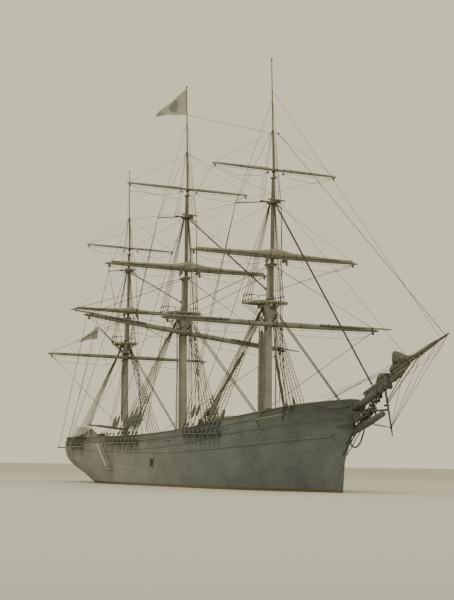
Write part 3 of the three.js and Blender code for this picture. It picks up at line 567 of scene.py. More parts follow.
def plate(outline, thickness, slot=0, cut=0.02):
    """A plank cut to an outline in x and z, its thickness centred on y, its edges eased."""
    o = np.asarray(outline, float)
    area = (o[:, 0] * np.roll(o[:, 1], -1) - np.roll(o[:, 0], -1) * o[:, 1]).sum()
    o = o if area > 0 else o[::-1]
    edge = np.roll(o, -1, 0) - np.roll(o, 1, 0)
    inward = np.stack([-edge[:, 1], edge[:, 0]], 1)
    inward /= np.linalg.norm(inward, axis=1, keepdims=True)
    t = thickness / 2
    levels = [(t, cut), (t - cut, 0), (-t + cut, 0), (-t, cut)]
    grid = np.stack([np.insert(o + inward * c, 1, y, 1) for y, c in levels])[None]
    part = skins(grid, ends=False, slot=slot)
    n = len(o)
    flat = [Vector((a, b, 0)) for a, b in o]
    tris = np.array(tessellate_polygon([flat]))
    a, b, c = (o[tris[:, k]] for k in range(3))
    wrong = np.cross(b - a, c - a) < 0
    tris[wrong] = tris[wrong][:, ::-1]
    part["tris"] = np.concatenate([tris[:, ::-1], tris + 3 * n])
    part["tri_uv"] = part["verts"][part["tris"]][:, :, [0, 2]]
    return part


def shell(grid, thickness, slot=0):
    """A sheet as a thin closed shell: the grid moved half the thickness each way along its
    normal, and the two faces joined along all four edges."""
    grid = np.asarray(grid, float)
    normal = np.cross(np.gradient(grid, axis=0), np.gradient(grid, axis=1))
    normal *= thickness / 2 / np.linalg.norm(normal, axis=2, keepdims=True)
    part = skins(np.concatenate([grid + normal, (grid - normal)[:, ::-1]], 1)[None], ends=False, slot=slot)
    n = grid.shape[1]
    j = np.arange(n - 1)
    first = np.stack([j + 1, j, 2 * n - 1 - j, 2 * n - 2 - j], 1)
    rims = np.concatenate([first, first[:, ::-1] + (len(grid) - 1) * 2 * n])
    part["quads"] = np.concatenate([part["quads"], rims])
    part["quad_uv"] = np.concatenate([part["quad_uv"], part["verts"][rims][:, :, :2]])
    return part


def chain(path, pitch=0.19, link=0.32, wide=0.21, wire=0.042, slot=0):
    """Oval links along a path: ring k is an oval of 12 points whose long axis follows the path,
    turned a quarter on from the ring before it."""
    path = np.asarray(path, float)
    walked = np.concatenate([[0], np.cumsum(np.linalg.norm(np.diff(path, axis=0), axis=1))])
    at = np.arange(pitch / 2, walked[-1], pitch)
    middle = np.stack([np.interp(at, walked, path[:, k]) for k in range(3)], 1)
    along = np.gradient(middle, axis=0)
    along /= np.linalg.norm(along, axis=1, keepdims=True)
    side = np.cross(along, (0.0, 1.0, 0.02))
    side /= np.linalg.norm(side, axis=1, keepdims=True)
    other = np.cross(along, side)
    odd = (np.arange(len(at)) % 2)[:, None]
    across, flat = side * odd + other * (1 - odd), other * odd + side * (1 - odd)
    t = np.linspace(0, 2 * np.pi, 13)[None, :, None]
    oval = (middle[:, None] + along[:, None] * (link / 2 - wire) * np.cos(t)
            + across[:, None] * (wide / 2 - wire) * np.sin(t))
    outward = oval - middle[:, None]
    outward /= np.linalg.norm(outward, axis=2, keepdims=True)
    q = np.arange(5) * 2 * np.pi / 5
    grid = oval[:, :, None] + wire * (outward[:, :, None] * np.cos(q)[:, None]
                                      + flat[:, None, None] * np.sin(q)[:, None])
    return skins(grid, ends=False, slot=slot)


def placed(part, place):
    """A part with its points sent through a placing function."""
    return dict(part, verts=place(part["verts"]))


print("part makers ready")

# %% [markdown]
# ## Hull, decks and inner sides in one closed skin
# Each ring goes from the keel up the outside to the rail, over the thick bulwark, down to the
# deck and across it to the other side. The deck is low amidships, one step up on the
# forecastle and on the poop, where the solid side ends at the deck. Where the deck steps, two
# rings stand almost in one place and the faces between them are the bulkhead. The paint is
# lighter and browner aft than forward, its strakes follow the rings' own measure, and the
# bottom is sheathed with copper to a little above the water.

# %% Hull finishes
def hull_paint():
    """Planks as bricks on the piece's UV, tinted along x, with streaks, and copper up to 0.3 m
    above the water."""
    material = worn("hull_paint", srgb(98, 104, 103), srgb(77, 82, 82), srgb(122, 127, 125), 0.8, (1, 1, 5),
                    0.68)
    tree, paint, colour_in = paint_of(material)
    where = link(tree, "ShaderNodeTexCoord")
    place = link(tree, "ShaderNodeSeparateXYZ", {"Vector": where.outputs["Object"]})
    x, z = place.outputs[0], place.outputs[2]
    aft = remapped(tree, x, 5.0, -4.0)
    paint = blended(tree, aft, paint, (1.85, 1.66, 1.5, 1), "MULTIPLY")
    # The strake under the rail is darker on the after half, and so is the knee ahead of the stem.
    strake = reckoned(tree, "MULTIPLY", remapped(tree, z, 2.34, 2.4, 0.0, 0.42), aft)
    knee = remapped(tree, x, 14.3, 14.5, 0.0, 0.34)
    paint = blended(tree, reckoned(tree, "ADD", strake, knee), paint, (0.02, 0.022, 0.018, 1))
    bricks = link(
        tree, "ShaderNodeTexBrick",
        {"Vector": where.outputs["UV"], "Scale": 1.0, "Brick Width": 6.5, "Row Height": 0.21,
         "Mortar Size": 0.009, "Mortar Smooth": 0.6, "Color1": (1, 1, 1, 1),
         "Color2": (0.86, 0.86, 0.86, 1), "Mortar": (0.5, 0.5, 0.5, 1)},
    )
    paint = blended(tree, 0.8, paint, bricks.outputs[0], "MULTIPLY")
    paint = blended(tree, remapped(tree, z, 0.16, 0.13), paint, srgb(96, 84, 62))
    tree.links.new(paint, colour_in)
    return material


hull_side = hull_paint()
print("hull finish ready")

# %% Hull skin
POOP_BREAK, HEAD_BREAK, HEAD_END = -16.9, 18.6, 28.2
BULWARK, POOP_RAIL, WELL, HEAD = 0.22, 0.65, 1.55, 0.75
# Part of the deck: how far the solid side ends below the rail, deck depth below that, camber.
DECKS = {"poop": (POOP_RAIL, 0.0, 0.0), "well": (0, WELL, 0.12), "head": (0, HEAD, 0.06), "bow": (0, 0, 0)}


def hull_rings(x, deck):
    """Rings of the hull at stations x, all with one kind of deck."""
    row = section_at(x)[:, :, None]
    down, depth, camber = DECKS[deck]
    low, wide, top = row[:, 1], row[:, 2], row[:, 5] - down
    u = np.linspace(0, 1, 19)[None, 1:]
    z = np.concatenate([low + (wide - low) * u**2, wide + (top - wide) * u[:, 1::2]], 1)
    y = half_at(x[:, None], z)
    floor = top - depth
    inner = np.maximum(np.minimum(half_at(x[:, None], floor), y[:, -1:]) - (BULWARK if depth else 0.01), 0.04)
    share = np.array([1, 1, 0.66, 0.33])
    inside_z = floor + camber * np.array([0, 0, 0.56, 0.89]) + np.array([1, 0, 0, 0]) * depth
    port_y = np.concatenate([y, inner * share], 1)
    port_z = np.concatenate([z, inside_z], 1)
    zero = 0 * low
    ring_y = np.concatenate([zero, port_y, zero, -port_y[:, ::-1]], 1)
    ring_z = np.concatenate([low, port_z, floor + camber, port_z[:, ::-1]], 1)
    return xyz(x[:, None], ring_y, ring_z)


stations = {
    "poop": np.concatenate([np.linspace(-29.3, -28.5, 9), np.linspace(-28.3, POOP_BREAK, 34)]),
    "well": np.linspace(POOP_BREAK + 0.005, HEAD_BREAK, 70),
    "head": np.linspace(HEAD_BREAK + 0.005, HEAD_END, 40),
    "bow": np.linspace(HEAD_END + 0.005, 29.3, 10),
}
ring_grid = np.concatenate([hull_rings(x, deck) for deck, x in stations.items()])
SIDE, CAP, BARE_DECK, INSIDE = 0, 1, 2, 3
around = [SIDE] * 27 + [CAP, INSIDE, BARE_DECK, BARE_DECK, BARE_DECK]
hull_skin = skins(ring_grid[None])
hull_skin["slot"] = np.tile(around + around[::-1], len(ring_grid) - 1)
print("hull rings", ring_grid.shape[:2])

# %% Keel, stem and the piece of the hull
KEEL = [
    (-24.5, -4.0), (22.5, -4.0), (24.6, -3.75), (26.0, -2.95), (26.9, -1.6), (27.35, 0.0),
    (27.5, 1.5), (27.68, 3.5), (28.0, 4.45), (28.5, 5.1), (29.4, 5.5), (31.3, 6.1), (32.6, 6.6),
    (33.9, 7.12), (34.0, 7.35), (33.7, 7.5), (32.15, 7.02), (30.5, 6.45), (29.1, 5.9), (28.2, 5.7),
    (27.2, 4.0), (26.0, 0.0), (24.0, -2.6), (20.0, -3.2), (-8.0, -3.2), (-14.0, -2.5),
    (-19.0, -1.2), (-22.5, 0.4), (-23.6, 1.4), (-24.5, 1.5),
]
backbone = plate(KEEL, 0.36, slot=0, cut=0.03)
piece("hull_skin", [hull_skin, backbone], [hull_side, rail_wood, deck_planks, house_paint], replaces="hull")

# %% [markdown]
# ## What runs along the side
# Two mouldings follow the sheer and carry the eye from bow to stern: one under the rail, one
# lower down at the deck. A wale with a rounder curve of its own runs below them, and crosses
# the lower one abaft the main mast. The rail cap closes the bulwark's top. Each is the same
# outline swept along the hull's own curve, so they all fit the skin whatever the table says.
# Iron-hinged ports let water off the deck, and a square port for loading lies lower down.

# %% Mouldings, wale and rail cap
long_x = np.concatenate([np.linspace(-29.2, -27.5, 12), np.linspace(-27.2, 28.0, 150),
                         np.linspace(28.2, 29.15, 8)])


def along_side(x, z, out=0.0):
    """A path on the starboard-to-port positive side of the hull, out from the skin."""
    x = np.asarray(x, float)
    return xyz(x, half_at(x, z) + out, z)


def side_strip(x, z, width, out, slot=0):
    """A strake standing proud of both sides."""
    path = along_side(x, z, out / 2 - 0.02)
    return both_sides(carried(path, bar_outline(out + 0.06, width, 0.2), slot=slot))


below_rail = rail_z(long_x)
on_poop = long_x < POOP_BREAK
mouldings = side_strip(long_x[on_poop], below_rail[on_poop] - 0.66, 0.13, 0.06, 1)
mouldings += side_strip(long_x[~on_poop], below_rail[~on_poop] - 0.66, 0.13, 0.06, 0)
mouldings += side_strip(long_x, below_rail - 1.62, 0.1, 0.05, 0)
wale_x = long_x[(long_x > -28.6) & (long_x < 27.4)]
wale_z = 3.75 + 0.0022 * wale_x**2 * np.where(wale_x > 0, 1.0, 0.5)
mouldings += side_strip(wale_x, wale_z, 0.26, 0.05, 0)
rail_x = long_x[(long_x > POOP_BREAK) & (long_x < 28.9)]
cap_path = xyz(rail_x, rail_half(rail_x) - BULWARK / 2, rail_z(rail_x) - 0.045)
caps = both_sides(carried(cap_path, bar_outline(0.4, 0.085, 0.3), slot=1))
piece("side_mouldings", mouldings + caps, [hull_side, rail_wood])

# %% Freeing ports and the loading port
port_x = np.array([-13.5, -9.0, -1.5, 3.0, 7.5, 14.8])
port_z = rail_z(port_x) - 1.28
flaps = []
for x, z in zip(port_x, port_z):
    y = float(half_at(x, z))
    flaps += both_sides(blocks([(x - 0.5, y - 0.06, z - 0.2)], [(x + 0.5, y + 0.03, z + 0.2)], bevel=0.02))
    hinge = [(x - 0.3, y + 0.02, z + 0.12), (x + 0.22, y + 0.02, z + 0.12)]
    flaps += both_sides(blocks(hinge, np.add(hinge, (0.08, 0.04, 0.14)), slot=1))
piece("freeing_ports", flaps, [hull_side, iron])

# The loading port low on the side: a dark square lid in a raised frame.
x, z = -0.5, 2.54
y = float(half_at(x, z))
lid = both_sides(blocks([(x - 0.4, y - 0.1, z - 0.38)], [(x + 0.4, y + 0.02, z + 0.38)], slot=1, bevel=0.02))
jambs = np.array([(-0.52, -0.5, 1.04, 0.12), (-0.52, 0.38, 1.04, 0.12), (-0.52, -0.5, 0.12, 1.0),
                  (0.4, -0.5, 0.12, 1.0)])
low = xyz(x + jambs[:, 0], y - 0.1, z + jambs[:, 1])
lid += both_sides(blocks(low, low + xyz(jambs[:, 2], 0.16, jambs[:, 3]), bevel=0.02))
dark_lid_and_hole_shade = worn("dark_lid_and_hole_shade", srgb(34, 32, 27), srgb(24, 23, 20), srgb(50, 47, 40), 2.0)
piece("loading_ports", lid, [hull_side, dark_lid_and_hole_shade])

# %% [markdown]
# ## The head
# Ahead of the stem a slender knee reaches forward to carry the stays of the bowsprit. Curved
# rails and upright timbers brace it from both bows, with the sky showing between them, and a
# strut runs on from them to the dolphin striker. The knee ends in a carved scroll, here a plain
# spiral, and a heavy chain hangs under it in a loop from the stem.

# %% Head rails, timbers, scroll and strut
upper_rail = smooth([(26.7, 2.62, 8.0), (28.3, 1.22, 7.68), (29.8, 0.62, 7.5), (31.2, 0.34, 7.42),
                     (32.0, 0.2, 7.48)])
lower_rail = smooth([(27.7, 0.86, 6.15), (29.0, 0.6, 6.33), (30.2, 0.42, 6.74), (31.2, 0.28, 7.08),
                     (31.9, 0.2, 7.3)])
head = []
for path, width, height in ((upper_rail, 0.14, 0.18), (lower_rail, 0.13, 0.16)):
    head += both_sides(carried(path, bar_outline(width, height, 0.25)))
KNEE_TOP = [(28.2, 5.7), (29.1, 5.9), (30.5, 6.45), (32.15, 7.02)]
for x in (29.75, 30.45, 31.1):
    ends = []
    for rail in (upper_rail, lower_rail):
        ends.append([x, np.interp(x, rail[:, 0], rail[:, 1]), np.interp(x, rail[:, 0], rail[:, 2])])
    foot = [x - 0.3, 0.17, np.interp(x - 0.3, *zip(*KNEE_TOP)) - 0.06]
    timber = smooth([ends[0], np.add(ends[1], (-0.1, -0.02, 0)), foot], 5)
    head += both_sides(carried(timber, bar_outline(0.13, 0.12, 0.2), up=(1, 0, 0)))
board_x = np.linspace(29.85, 30.85, 9)
boards = []
for share in np.linspace(0.04, 0.96, 7):
    high = np.stack([np.interp(board_x, upper_rail[:, 0], upper_rail[:, k]) for k in (1, 2)], 1)
    low = np.stack([np.interp(board_x, lower_rail[:, 0], lower_rail[:, k]) for k in (1, 2)], 1)
    boards.append(np.insert(high * (1 - share) + low * share, 0, board_x, 1))
head += both_sides(shell(np.stack(boards), 0.04))
chock = [(29.1, 6.6), (29.8, 7.1), (30.45, 7.5), (30.72, 7.74), (31.0, 8.06), (30.0, 7.67), (29.1, 7.31)]
head.append(plate(chock, 0.3, cut=0.03))
head.append(carried([(30.5, 0, 7.57), (32.5, 0, 7.58), (34.46, 0, 7.62)], bar_outline(0.17, 0.19, 0.25)))
head.append(discs([(34.3, 0, 8.02)], (0.1, 1, 0), 0.1, 0.52, 12, slot=2))
head.append(pulleys([(34.5, 0, 7.64)], (1, 0, 0.1), 0.34, slot=2))
turns = np.linspace(0, 3.6 * np.pi, 44)
swell = 0.27 * np.exp(-turns / 7.5)
scroll = xyz(31.55 + swell * np.sin(turns), 0, 7.25 - swell * np.cos(turns))
head.append(carried(scroll, bar_outline(0.26, 0.1, 0.3), up=(0, 1, 0)))
trail_x = np.linspace(29.3, 33.5, 24)
trail_z = np.interp(trail_x, (29.3, 31.3, 32.6, 33.9), (5.76, 6.32, 6.78, 7.27))
trail = xyz(trail_x, 0.19, trail_z)
head += both_sides(carried(trail, bar_outline(0.05, 0.2, 0.1), slot=0))
wave = trail + xyz(0, 0.035, 0.05 * np.sin(trail_x * 6.5))
head += both_sides(tube(smooth(wave, 3), 0.02, 6, slot=1))
piece("head_rails", head, [head_paint, rail_wood, iron])

# %% Chain under the stem
loop = smooth([(30.9, 0, 5.86), (30.79, 0, 5.62), (30.61, 0, 5.27), (30.38, 0, 4.85), (30.08, 0, 4.53),
               (29.71, 0, 4.32), (29.35, 0, 4.25), (28.92, 0, 4.43), (28.61, 0, 4.65), (28.3, 0, 4.9)])
piece("stem_chain", [chain(loop)], [iron])

# %% [markdown]
# ## Channels, deadeyes and chainplates
# Shrouds end at pairs of deadeyes, thick wooden discs joined by a lanyard; its turns run where
# a real deadeye has its three holes.
# The lower ones are strapped to channels, planks that hold them off the side, and the straps run
# on down the planking as chainplates. The rows below say where each rope of the standing
# rigging comes down; everything at its foot is made from the same points.

# %% Masts in numbers
MASTS = {
    # name: x at the water, rake, top, lower cap, crosstrees, topmast cap, hounds, truck (all z),
    # half width of the top, radius, topmast ahead, extra rake of the topgallant mast,
    # spreader aft, spreader out, foot z
    "fore": (14.15, 0.005, 19.26, 23.3, 29.9, 32.4, 37.36, 45.33, 2.1, 0.4, 0.52, 0.05, 2.24, 2.86, 5.0),
    "main": (-3.85, 0.03, 19.7, 23.85, 31.06, 33.5, 38.6, 46.65, 2.1, 0.42, 0.52, 0.025, 1.7, 2.58, 3.6),
    "mizzen": (-18.72, 0.032, 17.2, 20.4, 26.42, 28.4, 32.93, 38.99, 1.4, 0.33, 0.44, 0.02, 1.3, 1.9, 4.5),
}
COLUMNS = "x rake top cap trees top_cap hounds truck half r ahead extra aft out foot".split()


def mast_sizes(name):
    """One mast's row by name, with the radii at its seats and its three axes as (x, rake)."""
    m = dict(zip(COLUMNS, MASTS[name]))
    m["seat"], m["topmast_r"], m["tg_r"] = m["r"] * 0.84, m["r"] * 0.52, m["r"] * 0.3
    m["tg_ahead"] = m["ahead"] + (0.24 if name == "mizzen" else 0.3)
    m["lower"] = (m["x"], m["rake"])
    m["topmast"] = (m["x"] + m["ahead"], m["rake"])
    m["topgallant"] = (m["x"] + m["tg_ahead"] + m["extra"] * m["trees"], m["rake"] + m["extra"])
    return m


print("masts", list(MASTS))

# %% Places on a raked axis
def on_axis(axis):
    """Places points given about a raked axis: x ahead of it, y, and z up along it."""
    x0, rake = axis
    c, s = math.cos(math.atan(rake)), math.sin(math.atan(rake))

    def place(points):
        p = np.asarray(points, float)
        x = x0 - p[..., 2] * s + p[..., 0] * c
        return xyz(x, p[..., 1], p[..., 2] * c + p[..., 0] * s)

    return place


masts = {name: mast_sizes(name) for name in MASTS}
print("trucks at", [m["truck"] for m in masts.values()], "m above the water")

# %% Feet of the standing rigging
CHANNELS = {"fore": (9.2, 14.2, 5.6, 0.45), "main": (-9.6, -4.0, 4.75, 0.45),
            "mizzen": (-23.4, -19.0, 4.3, 0.4)}
SHROUDS = {"fore": (9.4, 13.8, 6), "main": (-9.4, -4.6, 6), "mizzen": (-22.6, -19.3, 5)}
BACKSTAYS = {"fore": (8.6, 7.7, 6.9), "main": (-10.3, -11.1, -11.9), "mizzen": (-24.2, -24.7)}


def feet_on_channel(mast, x):
    """Lower deadeye centres along a channel's edge at each x."""
    x = np.asarray(x, float)
    x0, x1, z, out = CHANNELS[mast]
    corner_x = np.linspace(x0, x1, 4)
    y = np.interp(x, corner_x, half_at(corner_x, z) + out)
    y = np.where(x < x0, half_at(x, z) + out, y)
    return xyz(x, y - 0.1, z + 0.22)


shroud_feet = {m: feet_on_channel(m, np.linspace(*SHROUDS[m])) for m in MASTS}
stay_feet = {m: feet_on_channel(m, BACKSTAYS[m]) for m in MASTS}
shroud_heads = {}
for name, m in masts.items():
    n = len(shroud_feet[name])
    spread = np.linspace(-0.22, -0.03, n)
    heads = xyz(spread, m["seat"] * 0.95, m["top"] + 0.1 + 0.05 * np.arange(n))
    shroud_heads[name] = on_axis(m["lower"])(heads)
print({name: len(feet) for name, feet in shroud_feet.items()})

# %% Channels
# Abaft its shrouds a channel goes on as a narrow ledge, this long.
CHANNEL_TAIL = {"fore": 2.9, "main": 2.6, "mizzen": 0}
channel_parts = []
for name, (x0, x1, z, out) in CHANNELS.items():
    x = np.linspace(x0 - CHANNEL_TAIL[name], x1, 16)
    reach = np.where(x < x0 - 0.01, 0.36, out)
    inner = along_side(x, z, -0.06)
    edge = along_side(x, z) + xyz(0, reach, 0)
    grid = np.stack([inner + (0, 0, 0.05), edge + (0, 0, 0.05), edge - (0, 0, 0.05), inner - (0, 0, 0.05)], 1)
    channel_parts += both_sides(skins(grid[None]))
    knees_x = np.linspace(x[0] + 0.3, x1 - 0.3, 6)
    for kx in knees_x:
        y = float(half_at(kx, z))
        low, high = (kx, float(half_at(kx, z - 0.45)) - 0.03, z - 0.45), (kx, y + 0.34, z - 0.06)
        channel_parts += both_sides(bars([(low, high)], 0.09, 0.08))
piece("channels", channel_parts, [hull_side])


def deadeye_gear(feet, heads, size=0.17, reach=0.95):
    """Deadeyes, lanyards and chainplates at the foot of each shroud, and the shrouds' ends."""
    pull = heads - feet
    pull /= np.linalg.norm(pull, axis=1, keepdims=True)
    face = np.cross(pull, (1, 0, 0))
    face /= np.linalg.norm(face, axis=1, keepdims=True)
    along = np.cross(face, pull)
    upper = feet + pull * reach
    wood = discs(np.concatenate([feet, upper]), np.concatenate([face, face]), size, size * 1.1, 14)
    lines = []
    for side in (-1, 0, 1):
        for lag in (0, 0.35):
            a = feet + along * size * 0.5 * side + pull * size * 0.3 + face * 0.05
            b = upper + along * size * 0.5 * (side + lag) - pull * size * 0.3 + face * 0.05
            lines.append(np.stack([a, b], 1))
    lanyards = ropes(np.concatenate(lines), 0.016, 4, slot=1)
    x = feet[:, 0]
    low_z = feet[:, 2] - 1.35
    skin = xyz(x - pull[:, 0] * 0.6, half_at(x, low_z) + 0.03, low_z)
    plates = bars(np.stack([feet - pull * size * 0.4, skin], 1), 0.09, 0.03, slot=2)
    bolts = discs(skin + (0, 0.02, 0.06), (0, 1, 0), 0.05, 0.06, 8, slot=2)
    return [wood, lanyards, plates, bolts], upper + pull * size


gear, upper_ends = [], {}
for name in MASTS:
    parts, upper_ends[name] = deadeye_gear(shroud_feet[name], shroud_heads[name])
    gear += [p for part in parts for p in both_sides(part)]
dark_wood = worn("tarred_wood", srgb(70, 71, 62), srgb(52, 53, 46), srgb(90, 90, 80), 3.0)
piece("lower_deadeyes", gear, [dark_wood, tarred, hull_side])

# %% [markdown]
# ## Masts
# A lower mast is built up of long pieces held by iron hoops, painted pale; above the top the
# topmast stands ahead of the lower masthead and is held by the cap, and the topgallant mast
# repeats the step. Each spar is a lathe about its own raked axis, and the seats where yards
# swing keep the radius that the frame gives them.


# %% Masts, caps and trucks
def shaft(rows, place, sides=32):
    """A round spar from rows of (z, radius) up its own axis, put in its place."""
    return placed(upright(0, 0, 0, rows, sides), place)


yard_levels = {"fore": (16.85, 23.87, 33.08), "main": (17.21, 24.6, 34.09), "mizzen": (15.3, 20.97, 29.04)}
for name, m in masts.items():
    course, topsail, topgallant = yard_levels[name]
    lower, topmast, tg = (on_axis(m[k]) for k in ("lower", "topmast", "topgallant"))
    r, rl, rt, rg = m["r"], m["seat"], m["topmast_r"], m["tg_r"]
    foot, top, cap = m["foot"], m["top"], m["cap"]
    rows = [(foot, r * 1.12), (foot + 1.2, r * 1.12), (foot + 1.5, r), (foot + 3.5, r), (course - 0.4, rl),
            (course + 1.1, rl), (top - 1.0, rl * 0.98), (top, rl * 0.93), (cap, rl * 0.72)]
    z = np.linspace(foot, cap, 40)
    table = np.array(rows)
    full = np.array(sorted(set(z) | set(table[:, 0])))
    full = np.stack([full, np.interp(full, table[:, 0], table[:, 1])], 1)
    clear = (15.6, 16.1) if name == "mizzen" else (0, 0)
    levels = np.array([v for v in np.arange(foot + 1.6, cap - 0.5, 1.15)
                       if abs(v - course) > 0.45 and not clear[0] < v < clear[1] and abs(v - 6.55) > 0.35])
    radius = np.interp(levels, table[:, 0], table[:, 1])
    bands = placed(hoops(levels, radius - 0.02, radius + 0.013, 0.09, 32), lower)
    if name == "mizzen":
        cheek_rows = [(-rl, rl * 1.2, rl * 1.15, top - 0.98), (-rl, m["ahead"] + rt, rl * 1.25, top - 0.5)]
    else:
        cheek_rows = [(-rl, rl, rl * 1.05, top - 1.7), (-rl * 2.2, m["ahead"] + rt, 0.75, top - 0.3)]
    fife = placed(discs([(0, 0, foot + 0.3)], (0, 0, 1), r * 1.35, 0.5, 24), lower)
    piece(f"{name}_lower_mast_spar", [shaft(full, lower), bands, placed(tapered(cheek_rows), lower), fife],
          [mast_paint], replaces=f"{name}_lower_mast")

    head = [(top - 0.75, rt), (top + 0.5, rt), (topsail - 0.35, rt), (topsail + 0.35, rt),
            (m["trees"], rt * 0.86), (m["top_cap"], rt * 0.6)]
    rings_z = np.arange(top + 1.2, m["trees"] - 0.6, 1.7)
    rings_z = rings_z[np.abs(rings_z - topsail) > 0.5]
    rings_r = np.interp(rings_z, [a for a, _ in head], [b for _, b in head])
    parts = [shaft(head, topmast, 28),
             placed(hoops(rings_z, rings_r - 0.02, rings_r + 0.01, 0.07, 28), topmast)]
    piece(f"{name}_topmast_spar", parts, [upper_wood], replaces=f"{name}_topmast")

    h, t = m["hounds"], m["truck"]
    pole = [(m["trees"] - 0.45, rg), (topgallant - 0.3, rg), (topgallant + 0.3, rg), (h, rg * 0.85),
            (h + 0.05, rg * 1.25), (h + 0.1, rg * 1.1), (h + 0.16, rg * 0.7), (t - 0.12, rg * 0.4),
            (t - 0.115, rg * 0.9), (t - 0.09, rg * 1.1), (t - 0.03, rg * 1.1), (t, rg * 0.8)]
    parts = [shaft(pole, tg, 24)]
    parts.append(placed(hoops([h - 0.3, h - 0.9], rg * 0.8, rg * 0.85 + 0.014, 0.08, 24), tg))
    piece(f"{name}_topgallant_spar", parts, [upper_wood], replaces=f"{name}_topgallant_mast")

# %% [markdown]
# ## Tops, crosstrees and caps
# The top is a platform of planks on trestletrees; it spreads the topmast shrouds, whose
# deadeyes stand in its rim, and the futtock shrouds below carry their pull back to the mast.
# The caps join each pair of masts. Higher up the crosstrees do the same for the
# topgallant mast, and two long spreaders hold the backstays out.

# %% Tops and caps
top_gear = {}
for name, m in masts.items():
    lower, topmast = on_axis(m["lower"]), on_axis(m["topmast"])
    half, top, cap, rl, rt = m["half"], m["top"], m["cap"], m["seat"], m["topmast_r"]
    back, front = -half, half * 0.6
    bow = [(back, half), (back * 0.5, half), (front * 0.35, half), (front * 0.8, half * 0.72),
           (front, half * 0.3)]
    rim = np.array([(a, -b) for a, b in bow] + bow[::-1])
    levels = [(top - 0.12, 0.965), (top - 0.11, 0.975), (top - 0.015, 1.0), (top, 0.99)]
    deck = skins(np.stack([np.insert(rim * s, 2, z, 1) for z, s in levels])[None], slot=0)
    lip = np.insert(rim * 0.985, 2, top + 0.03, 1)
    edge = carried(np.concatenate([lip, lip[:1]]), bar_outline(0.09, 0.07, 0.2))
    radial = np.array([(back * 0.9, -half * 0.75), (back * 0.9, 0.0), (back * 0.9, half * 0.75),
                       (front * 0.9, 0.0), (front * 0.75, -half * 0.6), (front * 0.75, half * 0.6),
                       (front * 0.2, -half * 0.93), (front * 0.2, half * 0.93)])
    start = radial * 0.42
    battens = bars(np.stack([np.insert(start, 2, top + 0.02, 1), np.insert(radial, 2, top + 0.02, 1)], 1),
                   0.07, 0.05)
    trestles = [blocks([(back * 0.8, s * 0.34 - 0.08, top - 0.55)],
                       [(front * 0.85, s * 0.34 + 0.08, top - 0.12)], bevel=0.03)
                for s in (-1, 1)]
    cross = blocks([(back * 0.55 - 0.09, -half * 0.93, top - 0.26),
                    (front * 0.55 - 0.09, -half * 0.85, top - 0.26)],
                   [(back * 0.55 + 0.09, half * 0.93, top - 0.1),
                    (front * 0.55 + 0.09, half * 0.85, top - 0.1)], bevel=0.03)
    cap_block = blocks([(-rl * 1.1, -rl * 1.1, cap - 0.3)], [(m["ahead"] + rt * 1.7, rl * 1.1, cap)],
                       bevel=0.05)
    strap = blocks([(-rl * 1.1 - 0.02, -rl * 1.1 - 0.02, cap - 0.2)],
                   [(m["ahead"] + rt * 1.7 + 0.02, rl * 1.1 + 0.02, cap - 0.1)], slot=1)
    rail = [(back * 0.97, s * half * 0.9, top + 0.02) for s in (-1, -0.5, 0, 0.5, 1)]
    posts = ropes([(p, np.add(p, (0, 0, 0.95))) for p in rail], 0.03, 8, slot=1)
    hand = ropes([(np.add(rail[0], (0, 0, 0.95)), np.add(rail[-1], (0, 0, 0.95)))], 0.03, 8, slot=1)
    parts = [placed(p, lower) for p in [deck, edge, battens, cross, cap_block, strap, posts, hand] + trestles]
    piece(f"{name}_top", parts, [top_paint, iron])

    # Topmast shrouds: deadeyes on the rim, futtock shrouds to a band round the mast below it.
    count = 3 if name == "mizzen" else 4
    x = np.linspace(back * 0.93, -0.28, count)
    rim_feet = xyz(x, half * 0.97, top + 0.2)
    band_z = top - (1.6 if name == "mizzen" else 2.1)
    futtock = np.stack([rim_feet - (0, 0, 0.35), xyz(x * 0.08, rl, band_z)], 1)
    k = 0.75 if name == "mizzen" else 1
    heads = xyz(np.linspace(-0.06, 0.06, count), rt * 0.9, m["trees"] + 0.06)
    top_gear[name] = {
        "feet": lower(rim_feet), "heads": topmast(heads), "futtock": lower(futtock),
        "band": placed(hoops([band_z], rl - 0.03, rl + 0.03, 0.12), lower),
    }

    # Crosstrees and spreaders on the topmast.
    z, out, aft = m["trees"], m["out"], m["aft"] + m["ahead"]
    arms = [((0.0, s * 0.2, z - 0.1), (-aft, s * out, z - 0.1)) for s in (-1, 1)]
    parts = [
        blocks([(-0.7 * k, s * 0.29 * k - 0.07 * k, z - 0.3)],
               [(1.05 * k, s * 0.29 * k + 0.07 * k, z - 0.05)], bevel=0.02)
        for s in (-1, 1)
    ]
    parts.append(blocks([(-0.55 * k, -1.25 * k, z - 0.12), (0.7 * k, -1.05 * k, z - 0.12),
                         (-0.5 * k, -0.3 * k, z - 0.34)],
                        [(-0.4 * k, 1.25 * k, z + 0.02), (0.85 * k, 1.05 * k, z + 0.02),
                         (0.75 * k, 0.3 * k, z - 0.06)], bevel=0.02))
    parts.append(bars(arms, 0.14, 0.1))
    tips = [end for _, end in arms]
    parts.append(discs(tips, (0, 0, 1), 0.075, 0.14, 12, slot=1))
    tc = m["top_cap"]
    parts.append(blocks([(-rt * 0.9, -rt * 0.9, tc - 0.2)],
                        [(m["tg_ahead"] - m["ahead"] + m["tg_r"] * 1.8, rt * 0.9, tc)], bevel=0.03))
    piece(f"{name}_crosstrees", [placed(p, topmast) for p in parts], [upper_wood, iron])
    top_gear[name]["tips"] = topmast(np.array([tips[1]]))

# %% [markdown]
# ## Yards
# A yard is a spar tapered to both arms. A jackstay along its top holds the sail, footropes
# hang under it in stirrups for the hands to stand on, blocks at the arms and quarters lead
# sheets and braces, and the fore and main lower yards carry stunsail booms in iron rings. It
# swings on the mast by an iron collar and a truss. All of it turns with the yard, so all of it
# rides on it.

